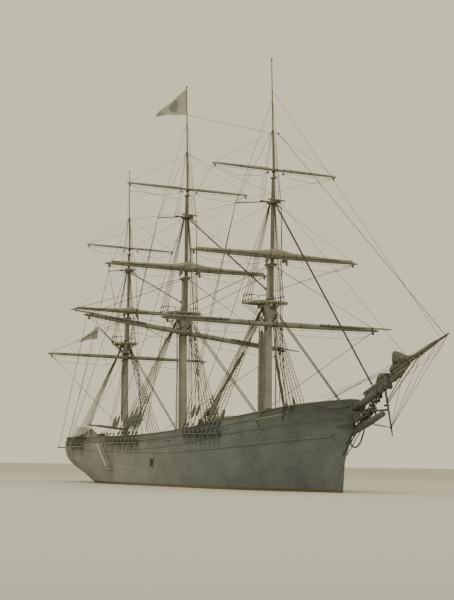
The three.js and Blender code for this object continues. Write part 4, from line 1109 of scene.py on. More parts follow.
# %% Yards in numbers
YARDS = {
    # name: mast, spar it swings on, z, half length, radius, ahead, brace angle, cant, boom reach
    "fore_course_yard": ("fore", "lower", 16.85, 12.67, 0.27, 1.15, -3.5, 0, 1.6),
    "fore_topsail_yard": ("fore", "topmast", 23.87, 9.88, 0.22, 0.75, -3.5, 0, 0),
    "fore_topgallant_yard": ("fore", "topgallant", 33.08, 7.44, 0.14, 0.42, -3.5, 0, 0),
    "main_course_yard": ("main", "lower", 17.21, 12.77, 0.28, 1.15, -3.6, 6.6, 1.7),
    "main_topsail_yard": ("main", "topmast", 24.6, 10.36, 0.23, 0.75, -3.6, 0, 0),
    "main_topgallant_yard": ("main", "topgallant", 34.09, 7.8, 0.14, 0.42, -3.6, 0, 0),
    "crossjack_yard": ("mizzen", "lower", 15.3, 10.81, 0.2, 0.95, -1.3, 0, 0),
    "mizzen_topsail_yard": ("mizzen", "topmast", 20.97, 7.61, 0.17, 0.6, -1.3, 0, 0),
    "mizzen_topgallant_yard": ("mizzen", "topgallant", 29.04, 5.98, 0.11, 0.36, -1.3, 0, 0),
}
TAPER_AT = (-1, -0.78, -0.5, -0.22, 0.22, 0.5, 0.78, 1)
TAPER = (0.42, 0.66, 0.86, 0.98, 0.98, 0.86, 0.66, 0.42)


def on_yard(name, canted=True):
    """Places points given as (ahead of the mast's axis, along the yard, height up the mast)."""
    mast, spar, z, _, _, _, brace, cant, _ = YARDS[name]
    mast_place = on_axis(masts[mast][spar])
    a = -math.radians(cant) if canted else 0.0
    b = math.radians(brace)

    def place(points):
        p = np.asarray(points, float)
        x, y, h = p[..., 0], p[..., 1], p[..., 2] - z
        y, h = y * math.cos(a) - h * math.sin(a), y * math.sin(a) + h * math.cos(a)
        x, y = x * math.cos(b) - y * math.sin(b), x * math.sin(b) + y * math.cos(b)
        return mast_place(xyz(x, y, h + z))

    return place


def yard_radius(name, y):
    """A yard's radius at y: its middle radius times TAPER at the share of the half length."""
    half, r = YARDS[name][3:5]
    return r * np.interp(np.asarray(y) / half, TAPER_AT, TAPER)


print("yards", len(YARDS))

# %% Yards and what they carry
def yard_parts(name):
    """One yard about the mast's own axis: its wood, its ironwork, its ropes and its blocks."""
    z, half, r, ahead = YARDS[name][2:6]
    y = np.linspace(-half, half, 61)
    q = yard_radius(name, y)
    q[[0, -1]] *= 0.85
    line = xyz(ahead, y, z)
    wood = [tube(line[None], q[None], 24)]
    metal = []
    band_y = half * np.array([-0.97, -0.8, -0.55, -0.24, 0.24, 0.55, 0.8, 0.97])
    bands = hoops(0 * band_y, yard_radius(name, band_y) - 0.015, yard_radius(name, band_y) + 0.014, 0.08, 24)
    # A hoop is made round z, so its axis is laid along the yard before it is moved to its band.
    v = bands["verts"].reshape(len(band_y), -1, 3)
    v = np.stack([v[..., 0], v[..., 2], -v[..., 1]], -1) + xyz(ahead, band_y, z)[:, None]
    metal.append(dict(bands, verts=v.reshape(-1, 3), slot=1))

    # Jackstay on staples, forward of the yard's crown.
    js = np.linspace(-0.95 * half, 0.95 * half, 2 * int(half / 0.9) + 1)
    js = js[np.abs(js) > 0.45]
    jr = yard_radius(name, js)
    top_line = xyz(ahead + jr * 0.45, js, z + jr * 0.95 + 0.035)
    metal.append(tube(top_line[js < 0], 0.022, 6, slot=1))
    metal.append(tube(top_line[js > 0], 0.022, 6, slot=1))
    metal.append(ropes(np.stack([top_line - (0.02, 0, 0.08), top_line + (0, 0, 0.02)], 1), 0.018, 5, slot=1))

    # Footropes in stirrups under the yard, ending by the mast.
    rope = []
    hang = 0.95 if half > 9 else 0.85
    inner = 0.95 + r
    for s in (-1, 1):
        n = max(3, int(round(half / 2.4)))
        sy = s * np.linspace(0.97 * half, inner, n + 1)
        sr = yard_radius(name, sy)
        top_at = xyz(ahead - 0.6 * sr, sy, z)
        low_at = top_at + (0.04, 0, -hang)
        low_at[0] = top_at[0]
        low_at[-1, 2] += hang * 0.45
        rope.append(hanging(np.stack([low_at[:-1], low_at[1:]], 1), 0.13, 0.02, 5, 7, slot=2))
        rope.append(ropes(np.stack([top_at[1:], low_at[1:]], 1), 0.014, 4, slot=2))

    # Blocks at the arms and quarters, and the sheet or chain that runs in along the yard.
    arm = np.array([(ahead, s * half * 0.95, z - yard_radius(name, half * 0.95) - 0.16) for s in (-1, 1)])
    quarter = np.array([(ahead, s * 0.9, z - r - 0.2) for s in (-1, 1)])
    size = 0.24 + r * 0.5
    blocks_low = pulleys(np.concatenate([arm, quarter]), (0, 0, 1), size, slot=3)
    rope.append(ropes(np.stack([arm + (0.03, 0, 0), quarter + (0.03, 0, 0)], 1), 0.018, 5, slot=2))
    return wood, metal, rope, [blocks_low]


def stunsail_booms(name):
    """Booms that run out along the yard's fore side in iron rings, at both arms."""
    z, half, r, ahead = YARDS[name][2:6]
    reach = YARDS[name][8]
    t = np.linspace(0, 2 * np.pi, 17)
    x, h = ahead + r, z + r * 0.85
    out = []
    for s in (-1, 1):
        rows = [(x, s * half * 0.42, h, 0.085), (x, s * half * 0.44, h, 0.1), (x, s * half * 0.95, h, 0.1),
                (x, s * (half + reach) * 0.995, h, 0.065), (x, s * (half + reach), h, 0.05)]
        out.append(turned(rows, 16))
        for share in (0.5, 0.93):
            ring = xyz(x + 0.13 * np.cos(t), s * half * share, h + 0.13 * np.sin(t))
            out.append(carried(ring, bar_outline(0.07, 0.03, 0.1), up=(0, 1, 0), slot=1, ends=False))
            base = (ahead + 0.02, s * half * share, z + r * 0.3)
            out.append(bars([(base, (x, s * half * share, h - 0.1))], 0.07, 0.06, slot=1))
    return out


print("yards have", len(yard_parts("fore_course_yard")), "kinds of parts")

# %% Collars and trusses, and each yard in its place
# Iron rings that turn round a mast stand RING_GAP off it and reach RING_OUT from it.
RING_GAP, RING_OUT = 0.012, 0.085


def collar_parts(name):
    """Collar round the mast and the truss that holds the yard off it."""
    mast, spar, z, _, r, ahead = YARDS[name][:6]
    key = {"lower": "seat", "topmast": "topmast_r", "topgallant": "tg_r"}[spar]
    seat = masts[mast][key]
    ring = hoops([z], seat + RING_GAP, seat + RING_OUT, 0.3, 32, slot=1)
    pad = hoops([z - 0.1, z + 0.1], seat + 0.07, seat + 0.1, 0.06, 32, slot=1)
    arm = bars([((seat + 0.05, 0, z), (ahead, 0, z))], r * 0.9, r * 0.8, slot=1)
    strap = hoops([0], r * 0.96, r * 1.1, 0.14, 24, slot=1)
    v = strap["verts"]
    straps = [dict(strap, verts=np.stack([v[:, 0] + ahead, v[:, 2] + y, z - v[:, 1]], 1))
              for y in (-0.3 * r - 0.1, 0.3 * r + 0.1)]
    return [ring, pad, arm] + straps


for name, row in YARDS.items():
    place = on_yard(name)
    wood, metal, rope, shells = yard_parts(name)
    parts = wood + metal + rope + shells + (stunsail_booms(name) if row[8] else [])
    done = [placed(p, place) for p in parts] + [placed(p, on_yard(name, False)) for p in collar_parts(name)]
    piece(f"{name}_dressed", done, [yard_wood, iron, tarred, dark_wood], f"{name}_body", name)

# %% [markdown]
# ## Shrouds and ratlines
# Shrouds hold a mast sideways and double as ladders: thin ratlines are seized across them
# every forty centimetres. Each set starts at its deadeyes and meets at a masthead, so a rung
# is a path through the shrouds at one height.


# %% Shrouds, ratlines, futtocks and backstays
def rungs(low, high, first, last, spacing=0.4, radius=0.012, slot=0):
    """Ratlines: for shares s between first and last of the way up, a path through all shrouds,
    with points between them dropped a little."""
    length = np.linalg.norm(high - low, axis=1).mean()
    share = np.arange(first, last, spacing) / length
    across = low + (high - low) * share[:, None, None]
    n = across.shape[1]
    t = np.linspace(0, n - 1, 4 * (n - 1) + 1)
    i = np.minimum(t.astype(int), n - 2)
    f = (t - i)[None, :, None]
    path = across[:, i] * (1 - f) + across[:, i + 1] * f
    path[:, :, 2] -= (0.16 * f * (1 - f))[:, :, 0]
    return tube(path, radius, 4, slot=slot)


print("ratlines ready")

# %% Hanks of rope in the shrouds
# Hanks of rope hung in the shrouds: share of the way from the aftermost shroud to the foremost,
# how far up from the deadeyes, length, radius.
HANKS = {
    "fore": [(0.1, 0.3, 1.3, 0.13), (0.42, 0.2, 3.0, 0.19), (0.62, 0.2, 1.5, 0.13), (1.0, 0.1, 1.2, 0.22)],
    "main": [(0.0, 0.9, 1.2, 0.12), (0.2, 0.1, 2.9, 0.12), (0.33, 0.1, 2.2, 0.1), (0.47, 0.1, 3.0, 0.13),
             (0.6, 0.1, 2.3, 0.11), (0.73, 0.1, 3.0, 0.13), (0.87, 0.1, 2.3, 0.11), (1.0, 0.1, 2.9, 0.12),
             (1.0, 3.2, 1.7, 0.11), (0.8, 3.0, 1.6, 0.1)],
}
HANK_ROWS = np.array([(0.0, 0.25), (0.12, 0.75), (0.3, 1.0), (0.6, 0.9), (0.85, 0.7), (1.0, 0.3)])


def hung_hanks(feet, heads, rows):
    """Spindles along lines between the first and last shroud: radius by HANK_ROWS."""
    rows = np.array(rows, float).reshape(-1, 4)
    k = rows[:, :1] * (len(feet) - 1)
    i = np.minimum(k.astype(int), len(feet) - 2)[:, 0]
    low = feet[i] + (feet[i + 1] - feet[i]) * (k - i[:, None])
    high = heads[i] + (heads[i + 1] - heads[i]) * (k - i[:, None])
    pull = (high - low) / np.linalg.norm(high - low, axis=1, keepdims=True)
    up = rows[:, 1:2] + rows[:, 2:3] * HANK_ROWS[:, 0]
    return tube(low[:, None] + pull[:, None] * up[:, :, None], rows[:, 3:] * HANK_ROWS[:, 1], 9, slot=2)


print("hanks of rope", sum(len(rows) for rows in HANKS.values()))

# %% Shrouds and backstays of each mast
for name, m in masts.items():
    lower, topmast, tg = (on_axis(m[k]) for k in ("lower", "topmast", "topgallant"))
    feet, heads = upper_ends[name], shroud_heads[name]
    lines = ropes(np.stack([feet, heads], 1), 0.036, 7)
    pole = bars([(feet[0] + (-0.25, 0.02, 0.05), feet[-1] + (0.25, 0.02, 0.05))], 0.05, 0.05)
    rung_r = 0.008 if name == "mizzen" else 0.012
    steps = rungs(feet, heads, 0.35, np.linalg.norm(heads - feet, axis=1).mean() - 1.3, radius=rung_r)
    around_head = placed(hoops(m["top"] + 0.1 + 0.07 * np.arange(4), m["seat"] * 0.6, m["seat"] + 0.06, 0.07,
                               24), lower)
    mats = [hung_hanks(feet, heads, HANKS[name])] if name in HANKS else []
    if name == "main":
        # Coils lie side by side on a second pole above the first.
        along = np.linspace(0.12, 1.03, 40)[:, None]
        pull = (heads[0] - feet[0]) / np.linalg.norm(heads[0] - feet[0])
        row = feet[0] + (feet[-1] - feet[0]) * along + pull * 1.45
        mats.append(tube(row[None], (0.1 + 0.035 * np.sin(2.4 * np.arange(40)))[None], 8, slot=2))
    parts = [p for part in [lines, pole, steps] + mats for p in both_sides(part)] + [around_head]
    piece(f"{name}_shrouds", parts, [tarred, dark_wood, mat_rope])

    g = top_gear[name]
    feet, heads = g["feet"], g["heads"]
    pull = (heads - feet) / np.linalg.norm(heads - feet, axis=1, keepdims=True)
    face = np.cross(pull, (1, 0, 0))
    upper = feet + pull * 0.55
    eyes = discs(np.concatenate([feet, upper]), np.concatenate([face, face]), 0.1, 0.12, 12, slot=1)
    lace = [np.stack([feet + (0.05 * s, 0, 0), upper + (0.05 * s, 0, 0)], 1) for s in (-1, 0, 1)]
    lines = ropes(np.stack([upper, heads], 1), 0.028, 6)
    steps = rungs(upper, heads, 0.3, np.linalg.norm(heads - upper, axis=1).mean() - 0.9)
    futtock = ropes(g["futtock"], 0.024, 6)
    low, high = g["futtock"][:, 1], g["futtock"][:, 0]
    futtock_steps = rungs(low, high, 0.5, np.linalg.norm(high - low, axis=1).mean() - 0.3)
    lace = ropes(np.concatenate(lace), 0.012, 4)
    parts = [p for part in (eyes, lines, steps, futtock, futtock_steps, lace) for p in both_sides(part)]
    # Topgallant shrouds come down to the after crosstree, clear of the braced yard, and on to the top.
    k = 0.75 if name == "mizzen" else 1
    trees, h = m["trees"], m["hounds"]
    tg_feet = topmast(np.array([(-0.55 * k, 1.2 * k, trees), (-0.5 * k, 0.8 * k, trees)]))
    tg_heads = tg(np.array([(-0.08, m["tg_r"] * 0.7, h), (-0.04, m["tg_r"] * 0.8, h + 0.03)]))
    tg_lines = ropes(np.stack([tg_feet, tg_heads], 1), 0.02, 5)
    tg_steps = rungs(tg_feet, tg_heads, 0.4, 4.6, 0.42)
    to_top = topmast(np.array([(-0.1, m["topmast_r"], trees - 1.5)] * 2))
    inner = ropes(np.stack([tg_feet, to_top], 1), 0.016, 5)
    parts += [p for part in (tg_lines, tg_steps, inner) for p in both_sides(part)] + [g["band"]]
    piece(f"{name}_upper_shrouds", parts, [tarred, dark_wood])

    # Backstays: from the crosstrees, and from the hounds over the spreaders' ends.
    feet = stay_feet[name]
    trees_head = topmast(np.array([(0, m["topmast_r"] * 0.9, trees + 0.15)]))[0]
    hounds_head = tg(np.array([(0, m["tg_r"] * 0.8, h + 0.05)]))[0]
    royal_head = tg(np.array([(0, m["tg_r"] * 0.5, h + 0.42 * (m["truck"] - h))]))[0]
    tip = g["tips"][0]
    gear, ends = deadeye_gear(feet, np.stack([trees_head] + [tip] * (len(feet) - 1)), 0.13, 0.8)
    lines = ropes([(ends[0], trees_head)] + [(e, tip) for e in ends[1:]], 0.03, 6, slot=1)
    upper = ropes([(tip, hounds_head), (tip, royal_head)][: len(feet) - 1], 0.022, 5, slot=1)
    gear[0]["slot"] = 0
    if name != "mizzen":
        hanks = hung_hanks(ends[:2], np.stack([trees_head, tip]),
                           [(0.0, 0.7, 1.4, 0.16), (0.6, 0.5, 1.5, 0.17)])
        gear.append(dict(hanks, slot=3))
    parts = [p for part in gear + [lines, upper] for p in both_sides(part)]
    piece(f"{name}_backstays", parts, [dark_wood, tarred, hull_side, mat_rope])

# %% [markdown]
# ## Stays
# Stays hold the masts from ahead. Each starts in a collar round a masthead and runs down to the
# next mast, the deck or the bowsprit; the heavy lower ones are doubled and served. The lighter
# stays above them, which the frame leaves out, go the same way.

# %% Stays
STAYS = {
    # name: upper x, z, lower x, z, radius, half the distance between its two legs
    "fore_stay": (14.45, 18.95, 27.3, 8.35, 0.05, 0.12),
    "fore_topmast_stay": (14.95, 29.6, 32.5, 9.5, 0.045, 0.06),
    "fore_topgallant_stay": (15.1, 37.2, 42.6, 13.84, 0.03, 0),
    "main_stay": (-4.0, 19.4, 13.45, 6.6, 0.05, 0.16),
    "main_topmast_stay": (-3.95, 30.75, 13.75, 20.5, 0.04, 0.09),
    "mizzen_stay": (-18.9, 16.9, -4.55, 5.4, 0.045, 0.12),
    "mizzen_topmast_stay": (-18.9, 26.1, -4.9, 20.9, 0.035, 0.08),
}
for name, (x0, z0, x1, z1, r, apart) in STAYS.items():
    a, b = np.array([x0, 0, z0]), np.array([x1, 0, z1])
    run = b - a
    collar = discs([a + run * 0.015], run, 0.1, 0.14, 10)
    if apart:
        # Two legs close in below the masthead and end at a pair of hearts with their lanyard.
        split, end = a + run * 0.09, b - run * 0.03
        legs = []
        for off in np.array([(0, -apart, 0), (0, apart, 0)]):
            legs += [(a + off * 1.6, split + off), (split + off, end + off * 0.8)]
        parts = [ropes(legs, r * 1.05, 8), collar,
                 discs([end, end + run * 0.012], (0, 1, 0), 0.13, 0.1, 14, slot=1),
                 ropes([(end + (0, s * 0.02, 0), b) for s in (-1, 0, 1)], 0.02, 5)]
    else:
        marks = a + run * np.linspace(0.1, 0.92, 9)[:, None]
        parts = [ropes([(a, b - run * 0.004)], r * 0.95, 8), collar, discs(marks, run, r * 1.5, 0.1, 8)]
    piece(f"{name}_served", parts, [tarred, dark_wood], replaces=name)


def pole_point(name, z):
    """A point on the topgallant mast's axis at height z."""
    return on_axis(masts[name]["topgallant"])(np.array([0.0, 0, z]))


light = [
    (pole_point("fore", 41.8), (42.0, 0, 13.6)),
    ((15.0, 0, 30.3), (37.6, 0, 12.0)),
    (pole_point("main", 38.4), (14.9, 0, 30.4)),
    (pole_point("main", 43.2), (14.0, 0, 37.2)),
    (pole_point("mizzen", 32.8), (-4.6, 0, 31.5)),
    (pole_point("mizzen", 36.6), (-5.4, 0, 33.2)),
    ((-3.6, 0, 23.7), (13.75, 0, 22.9)),
]
piece("light_stays", [ropes(light, 0.02, 6)], [tarred])

# %% [markdown]
# ## Lifts and braces
# Lifts hold a yard's arms up from the mast above; braces swing it. One end of each stays with the
# ship and the other goes with the yard, so each side's rope is an object of its own, left on no
# body. Its points are only at its ends, so it stays straight.

# %% Lifts and braces
# Yard: x, half breadth and z of the place where the brace leads, then height of the lift's head.
BRACES = {
    "fore_course_yard": (-2.6, 5.55, 5.95, 23.0),
    "fore_topsail_yard": (-4.2, 0.75, 19.0, 29.6),
    "fore_topgallant_yard": (-4.35, 0.3, 31.2, 37.2),
    "main_course_yard": (-26.5, 5.5, 4.4, 23.6),
    "main_topsail_yard": (-19.2, 0.6, 16.7, 30.8),
    "main_topgallant_yard": (-19.2, 0.3, 26.5, 38.4),
    "crossjack_yard": (-7.9, 5.5, 5.8, 20.2),
    "mizzen_topsail_yard": (-4.45, 0.55, 23.6, 26.2),
    "mizzen_topgallant_yard": (-4.4, 0.3, 31.1, 32.8),
}


def between(name, moving, parts, materials):
    """A rope as one object of its own, on no body, with its points baked where they stand. `moving` is not
    used.
    """
    obj = piece(name, parts, materials, body=None)
    tuple(float(v) * HALF for v in moving)
    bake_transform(obj)
    return obj


for name, (bx, by, bz, lift_z) in BRACES.items():
    mast, spar, z, half, r, ahead = YARDS[name][:6]
    m, place = masts[mast], on_yard(name)
    key, q = {"lower": ("topmast", 0.3), "topmast": ("topmast", 0.2), "topgallant": ("topgallant", 0.1)}[spar]
    for s, side in ((-1, "starboard"), (1, "port")):
        arm_top = place(np.array([ahead, s * half * 0.955, z + r * 0.5 + 0.05]))
        head = on_axis(m[key])(np.array([0.12, s * q, lift_z]))
        lines = [(head, arm_top)]
        if spar == "lower":
            lines.append((head + (0.08, 0, -0.1), arm_top + (0.08, 0, 0)))
        between(f"{name}_lift_{side}", arm_top, [ropes(lines, 0.02 if spar == "lower" else 0.016, 5)],
                [tarred])
        arm = place(np.array([ahead - r * 0.6, s * half * 0.965, z]))
        lead = np.array([bx, s * by, bz])
        lines = [(lead, arm)]
        if spar != "topgallant":
            lines.append((lead + (0.25, 0, 0.05), arm + (0, 0, -0.07)))
        between(f"{name}_brace_{side}", arm, [ropes(lines, 0.018, 5)], [hemp])

# %% Falls along the masts
falls = []
# Mast: the deck's height, and the after ends of the inner and outer falls at their heads and feet.
FALLS = {
    "fore": (5.55, -0.35, -0.9, -0.4, 0.08),
    "main": (4.25, -0.35, -0.9, -0.4, 0.08),
    "mizzen": (4.9, 0.0, 0.1, -0.12, 0.03),
}
for name, m in masts.items():
    lower = on_axis(m["lower"])
    deck, inner_head, inner_foot, outer_head, outer_step = FALLS[name]
    spacing = (0.03, 0.2) if name == "mizzen" else (0.08, 0.38)
    for s in (-1, 1):
        for k in range(5):
            top = lower(np.array([m["half"] * (inner_head + spacing[0] * k), s * (0.3 + 0.12 * k),
                                  m["top"] - 0.25]))
            falls.append((top, (m["x"] + inner_foot + spacing[1] * k, s * (0.75 + 0.1 * k), deck + 0.9)))
        for k in range(4):
            top = lower(np.array([m["half"] * (outer_head + outer_step * k),
                                  s * m["half"] * (0.3 + 0.06 * k), m["top"] - 0.2]))
            x = shroud_feet[name][0, 0] + 0.4 + k * 0.7
            falls.append((top, (x, s * float(rail_half(x) - 0.4), float(rail_z(x)) - 0.1)))
main_axis, main_top = on_axis(masts["main"]["lower"]), masts["main"]["top"]
halyards = [(main_axis(np.array([0.1, y, main_top - 0.3])), main_axis(np.array([0.1, y, 5.1])))
            for y in (-0.95, -0.66, 0.66, 0.95)]
piece("running_falls", [ropes(falls, 0.014, 4), ropes(halyards, 0.045, 6, slot=1)], [hemp, manila])

# %% [markdown]
# ## Spanker boom and gaff
# The fore-and-aft sail of the mizzen is unbent here, so its boom and gaff stand bare. Both
# swing in iron collars. Lifts, spans, vangs and sheets keep one end on the ship while the other
# follows the spar.

# %% Spanker spars and their ropes
mizzen = masts["mizzen"]
aft_axis = on_axis(mizzen["lower"])
boom_rows = np.array([(-0.4, 0, 6.55, 0.12), (-1.2, 0, 6.63, 0.15), (-3, 0, 6.85, 0.17), (-7, 0, 7.25, 0.16),
                      (-10.2, 0, 7.53, 0.1), (-10.9, 0, 7.6, 0.07)])
gaff_rows = np.array([(-0.32, 0, 15.86, 0.09), (-1.2, 0, 16.3, 0.11), (-3, 0, 17.31, 0.13),
                      (-6.5, 0, 19.2, 0.09), (-8.35, 0, 20.21, 0.05)])


def swinging_spar(rows, z, seat):
    """A turned spar with iron bands, and the ring round the mast on which it swings."""
    along = rows[-1, :3] - rows[0, :3]
    band = discs(rows[1:-1, :3], along, rows[1:-1, 3] + 0.018, 0.1, 20, ((-1, 1), (1, 1)), slot=1)
    ring = hoops([z], seat + RING_GAP, seat + RING_OUT, 0.25, 32, slot=1)
    return [placed(p, aft_axis) for p in (turned(rows, 20), band, ring)]


piece("spanker_boom_dressed", swinging_spar(boom_rows, 6.55, 0.33), [upper_wood, iron], "spanker_boom_body",
      "spanker_boom")
piece("spanker_gaff_dressed", swinging_spar(gaff_rows, 15.86, mizzen["seat"]), [upper_wood, iron],
      "spanker_gaff_body", "spanker_gaff")

# %% Ropes of the spanker spars
boom_end, gaff_end = aft_axis(boom_rows[-1, :3]), aft_axis(gaff_rows[-1, :3])
gaff_mid = aft_axis(gaff_rows[3, :3])
cap_back = aft_axis(np.array([-0.4, 0, 20.1]))
between("peak_span", gaff_end, [ropes([(cap_back, gaff_end + (0.15, 0, 0.1))], 0.02, 5)],
        [tarred])
between("throat_span", gaff_mid,
        [ropes([(cap_back - (0, 0, 0.2), gaff_mid + (0, 0, 0.08))], 0.02, 5)], [tarred])
for s, side in ((-1, "starboard"), (1, "port")):
    lead = np.array([-27.4, s * 3.9, 5.5])
    between(f"gaff_vang_{side}", gaff_end, [ropes([(lead, gaff_end - (0, 0, 0.05))], 0.016, 5)],
            [hemp])
    head = aft_axis(np.array([0.0, s * 0.45, 16.95]))
    end = boom_end + (0.5, s * 0.08, 0.08)
    between(f"boom_lift_{side}", end, [ropes([(head, end)], 0.018, 5)], [tarred])
    low = np.array([-28.6, s * 1.1, 5.0])
    end = boom_end + (0.9, 0, -0.12)
    between(f"boom_sheet_{side}", end,
            [ropes([(low, end), (low + (0.1, 0, 0), end + (0.12, 0, 0))], 0.016, 5)],
            [hemp])

# %% [markdown]
# ## Bowsprit, jibboom and what stays them
# The bowsprit is the foot of everything ahead. Bobstays hold it down to the stem, guys from
# both bows hold the jibboom sideways, and the dolphin striker spreads the martingale stays that
# hold it down.

# %% Bowsprit and jibboom
bow_rows = np.array([(26.9, 0, 6.95, 0.34), (27.2, 0, 7.056, 0.36), (29.3, 0, 7.8, 0.38),
                     (32.0, 0, 8.88, 0.34), (34.6, 0, 9.91, 0.275), (34.75, 0, 9.97, 0.26)])
jib_rows = np.array([(30.9, 0, 9.19, 0.17), (31.0, 0, 9.229, 0.19), (34.6, 0, 10.63, 0.19),
                     (39.0, 0, 12.35, 0.15), (41.4, 0, 13.287, 0.11), (42.9, 0, 13.87, 0.075),
                     (43.1, 0, 13.95, 0.06)])


def rows_at(rows, x):
    """Points on a spar's axis at x, read from its rows."""
    return np.stack([np.interp(x, rows[:, 0], rows[:, k]) for k in (0, 1, 2)], -1)


def strap_at(rows, x, width=0.1, proud=0.018, slot=1):
    """Iron bands round a spar at x, standing proud of its radius there."""
    x = np.asarray(x, float)
    r = np.interp(x, rows[:, 0], rows[:, 3])
    return discs(rows_at(rows, x), rows[-1, :3] - rows[0, :3], r + proud, width, 28, ((-1, 1), (1, 1)), slot)


cap = blocks([(34.3, -0.36, 9.5)], [(34.75, 0.36, 10.95)], bevel=0.06)
cap_iron = blocks([(34.28, -0.38, 9.66), (34.28, -0.38, 10.7)], [(34.77, 0.38, 9.76), (34.77, 0.38, 10.8)],
                  slot=1)
saddle = blocks([(31.2, -0.25, 8.7)], [(31.5, 0.25, 9.42)], bevel=0.03)
cleats = blocks([(32.6, s * 0.3 - 0.05, 8.95) for s in (-1, 1)],
                [(33.1, s * 0.3 + 0.05, 9.25) for s in (-1, 1)], bevel=0.02)
between_spars = [(31.55, 9.0), (34.3, 10.08), (34.3, 10.34), (31.55, 9.26)]
chock = plate(between_spars, 0.28, cut=0.02)
wood = [turned(bow_rows, 32), strap_at(bow_rows, [29.6, 33.2, 34.1]), cap, cap_iron, saddle, cleats, chock]
bowsprit_paint = worn("bowsprit_paint", srgb(88, 91, 85), srgb(66, 69, 64), srgb(108, 111, 104), 1.2,
                      (0.5, 6, 6))
piece("bowsprit_dressed", wood, [bowsprit_paint, iron], replaces="bowsprit")
gam = np.linspace(29.95, 30.5, 6)
coil = discs(rows_at(bow_rows, gam), bow_rows[-1, :3] - bow_rows[0, :3], 0.385, 0.08, 20,
             ((-1, 0.93), (0, 1), (1, 0.93)))
turns_down = [((x, s * 0.36, 8.06 + 0.4 * (x - 29.95)), (x - 0.1, s * 0.13, 7.4)) for x in gam
              for s in (-1, 1)]
piece("gammoning", [coil, ropes(turns_down, 0.035, 6)], [tarred])

# %% Jibboom and dolphin striker
jibboom_wood = worn("jibboom_wood", srgb(92, 92, 80), srgb(68, 68, 59), srgb(116, 115, 102), 1.5,
                    (0.6, 6, 6), 0.6)
parts = [turned(jib_rows, 24), strap_at(jib_rows, [35.3, 37.6, 39.4, 41.3, 42.7])]
piece("jibboom_dressed", parts, [jibboom_wood, iron], replaces="jibboom")
striker_rows = np.array([(34.12, 0, 9.42, 0.1), (34.38, 0, 8.4, 0.11), (35.05, 0, 5.8, 0.07),
                         (35.19, 0, 5.24, 0.05)])
parts = [turned(striker_rows, 16), strap_at(striker_rows[::-1], [34.9, 35.12], 0.08, 0.02)]
piece("dolphin_striker_dressed", parts, [head_paint, iron], replaces="dolphin_striker")

# %% Stays of the bowsprit and jibboom
striker_eye = np.array([34.98, 0, 6.02])
head_ropes, thick = [], []
for stem, end in (((27.85, 3.55), (33.55, 9.2)), ((28.35, 4.55), (32.7, 8.85))):
    thick += [((stem[0], s * 0.23, stem[1]), (end[0], s * 0.12, end[1])) for s in (-1, 1)]
for x in (36.9, 39.4, 41.3, 42.9):
    end = rows_at(jib_rows, x) - (0, 0, float(np.interp(x, jib_rows[:, 0], jib_rows[:, 3])))
    head_ropes.append((striker_eye, end))
for s in (-1, 1):
    end = rows_at(jib_rows, 37.5 if s < 0 else 39.0) - (0, 0, 0.17)
    thick.append(((34.42, s * 0.1, 8.3), end))
    head_ropes.append((striker_eye, (27.4, s * float(half_at(27.4, 6.9)), 6.9)))
    head_ropes.append((striker_eye, (31.6, s * 0.22, 6.5)))
    for x in (39.4, 42.9):
        head_ropes.append(((27.6, s * 2.1, 8.5), rows_at(jib_rows, x) + (0, s * 0.08, 0)))
eye = discs([striker_eye], (0.25, 0, -1), 0.12, 0.2, 12)
hearts = discs([(x, s * 0.17, z) for x, z in ((33.25, 8.86), (32.9, 8.5), (32.35, 8.44), (32.05, 8.12))
                for s in (-1, 1)],
               (0, 1, 0), 0.19, 0.12, 12)
piece("bobstays_and_guys", [ropes(thick, 0.045, 8), ropes(head_ropes, 0.022, 6), eye, hearts], [tarred])

# %% Footropes and rails of the jibboom
foot_x = np.array([35.2, 36.8, 38.4, 40.0, 41.4, 42.6])
at = rows_at(jib_rows, foot_x)
lines = []
for s in (-1, 1):
    low = at + (0, s * 0.25, -0.85)
    low[-1] = at[-1] + (0, s * 0.09, 0)
    low[0] = at[0] + (0, s * 0.25, -0.1)
    lines += [hanging(np.stack([low[:-1], low[1:]], 1), 0.1, 0.018, 5, 7)]
    lines += [ropes(np.stack([at[1:-1] + (0, s * 0.12, 0), low[1:-1]], 1), 0.012, 4)]
net_rail = [((27.6, s * 1.6, 9.1), (34.4, s * 0.4, 10.85)) for s in (-1, 1)]
net_rail += [((26.9, s * 2.2, 9.0), (36.2, 0, 11.5)) for s in (-1, 1)]
lines.append(ropes(net_rail, 0.018, 5))
piece("head_footropes", lines, [hemp])

# %% [markdown]
# ## The poop and the stern
# A boarded rail on turned stanchions runs round the stern. The steering wheel stands in front
# of its gear box, and a skylight lights the cabin. The rudder hangs under the counter on iron
# straps.

# %% Poop rail
rail_path = [(x, float(rail_half(x)) - 0.14) for x in np.arange(POOP_BREAK - 0.25, -28.6, -0.6)]
rail_path += [(-28.6, float(rail_half(-28.6)) - 0.14), (-29.1, 2.95)]
rail_path = np.array(rail_path + [(x, -y) for x, y in rail_path[::-1]])
rail_top = np.insert(rail_path, 2, rail_z(rail_path[:, 0]), 1)
parts = [carried(rail_top - (0, 0, 0.05), bar_outline(0.2, 0.1, 0.3), slot=0)]
mid_rail = carried(rail_top - (0, 0, 0.36), bar_outline(0.05, 0.5, 0.1), slot=1)
spots = rail_top[::2]
post_rows = [(-0.65, 0.06), (-0.6, 0.06), (-0.56, 0.035), (-0.4, 0.05), (-0.25, 0.035), (-0.15, 0.045),
             (-0.09, 0.055)]
z, girth = np.array(post_rows).T
posts = tube(spots[:, None] + xyz(0, 0, z), np.tile(girth, (len(spots), 1)), 10, reference=(1, 0, 0))
piece("poop_rail_turned", parts + [mid_rail, posts], [rail_wood, hull_side], replaces="poop_rail")

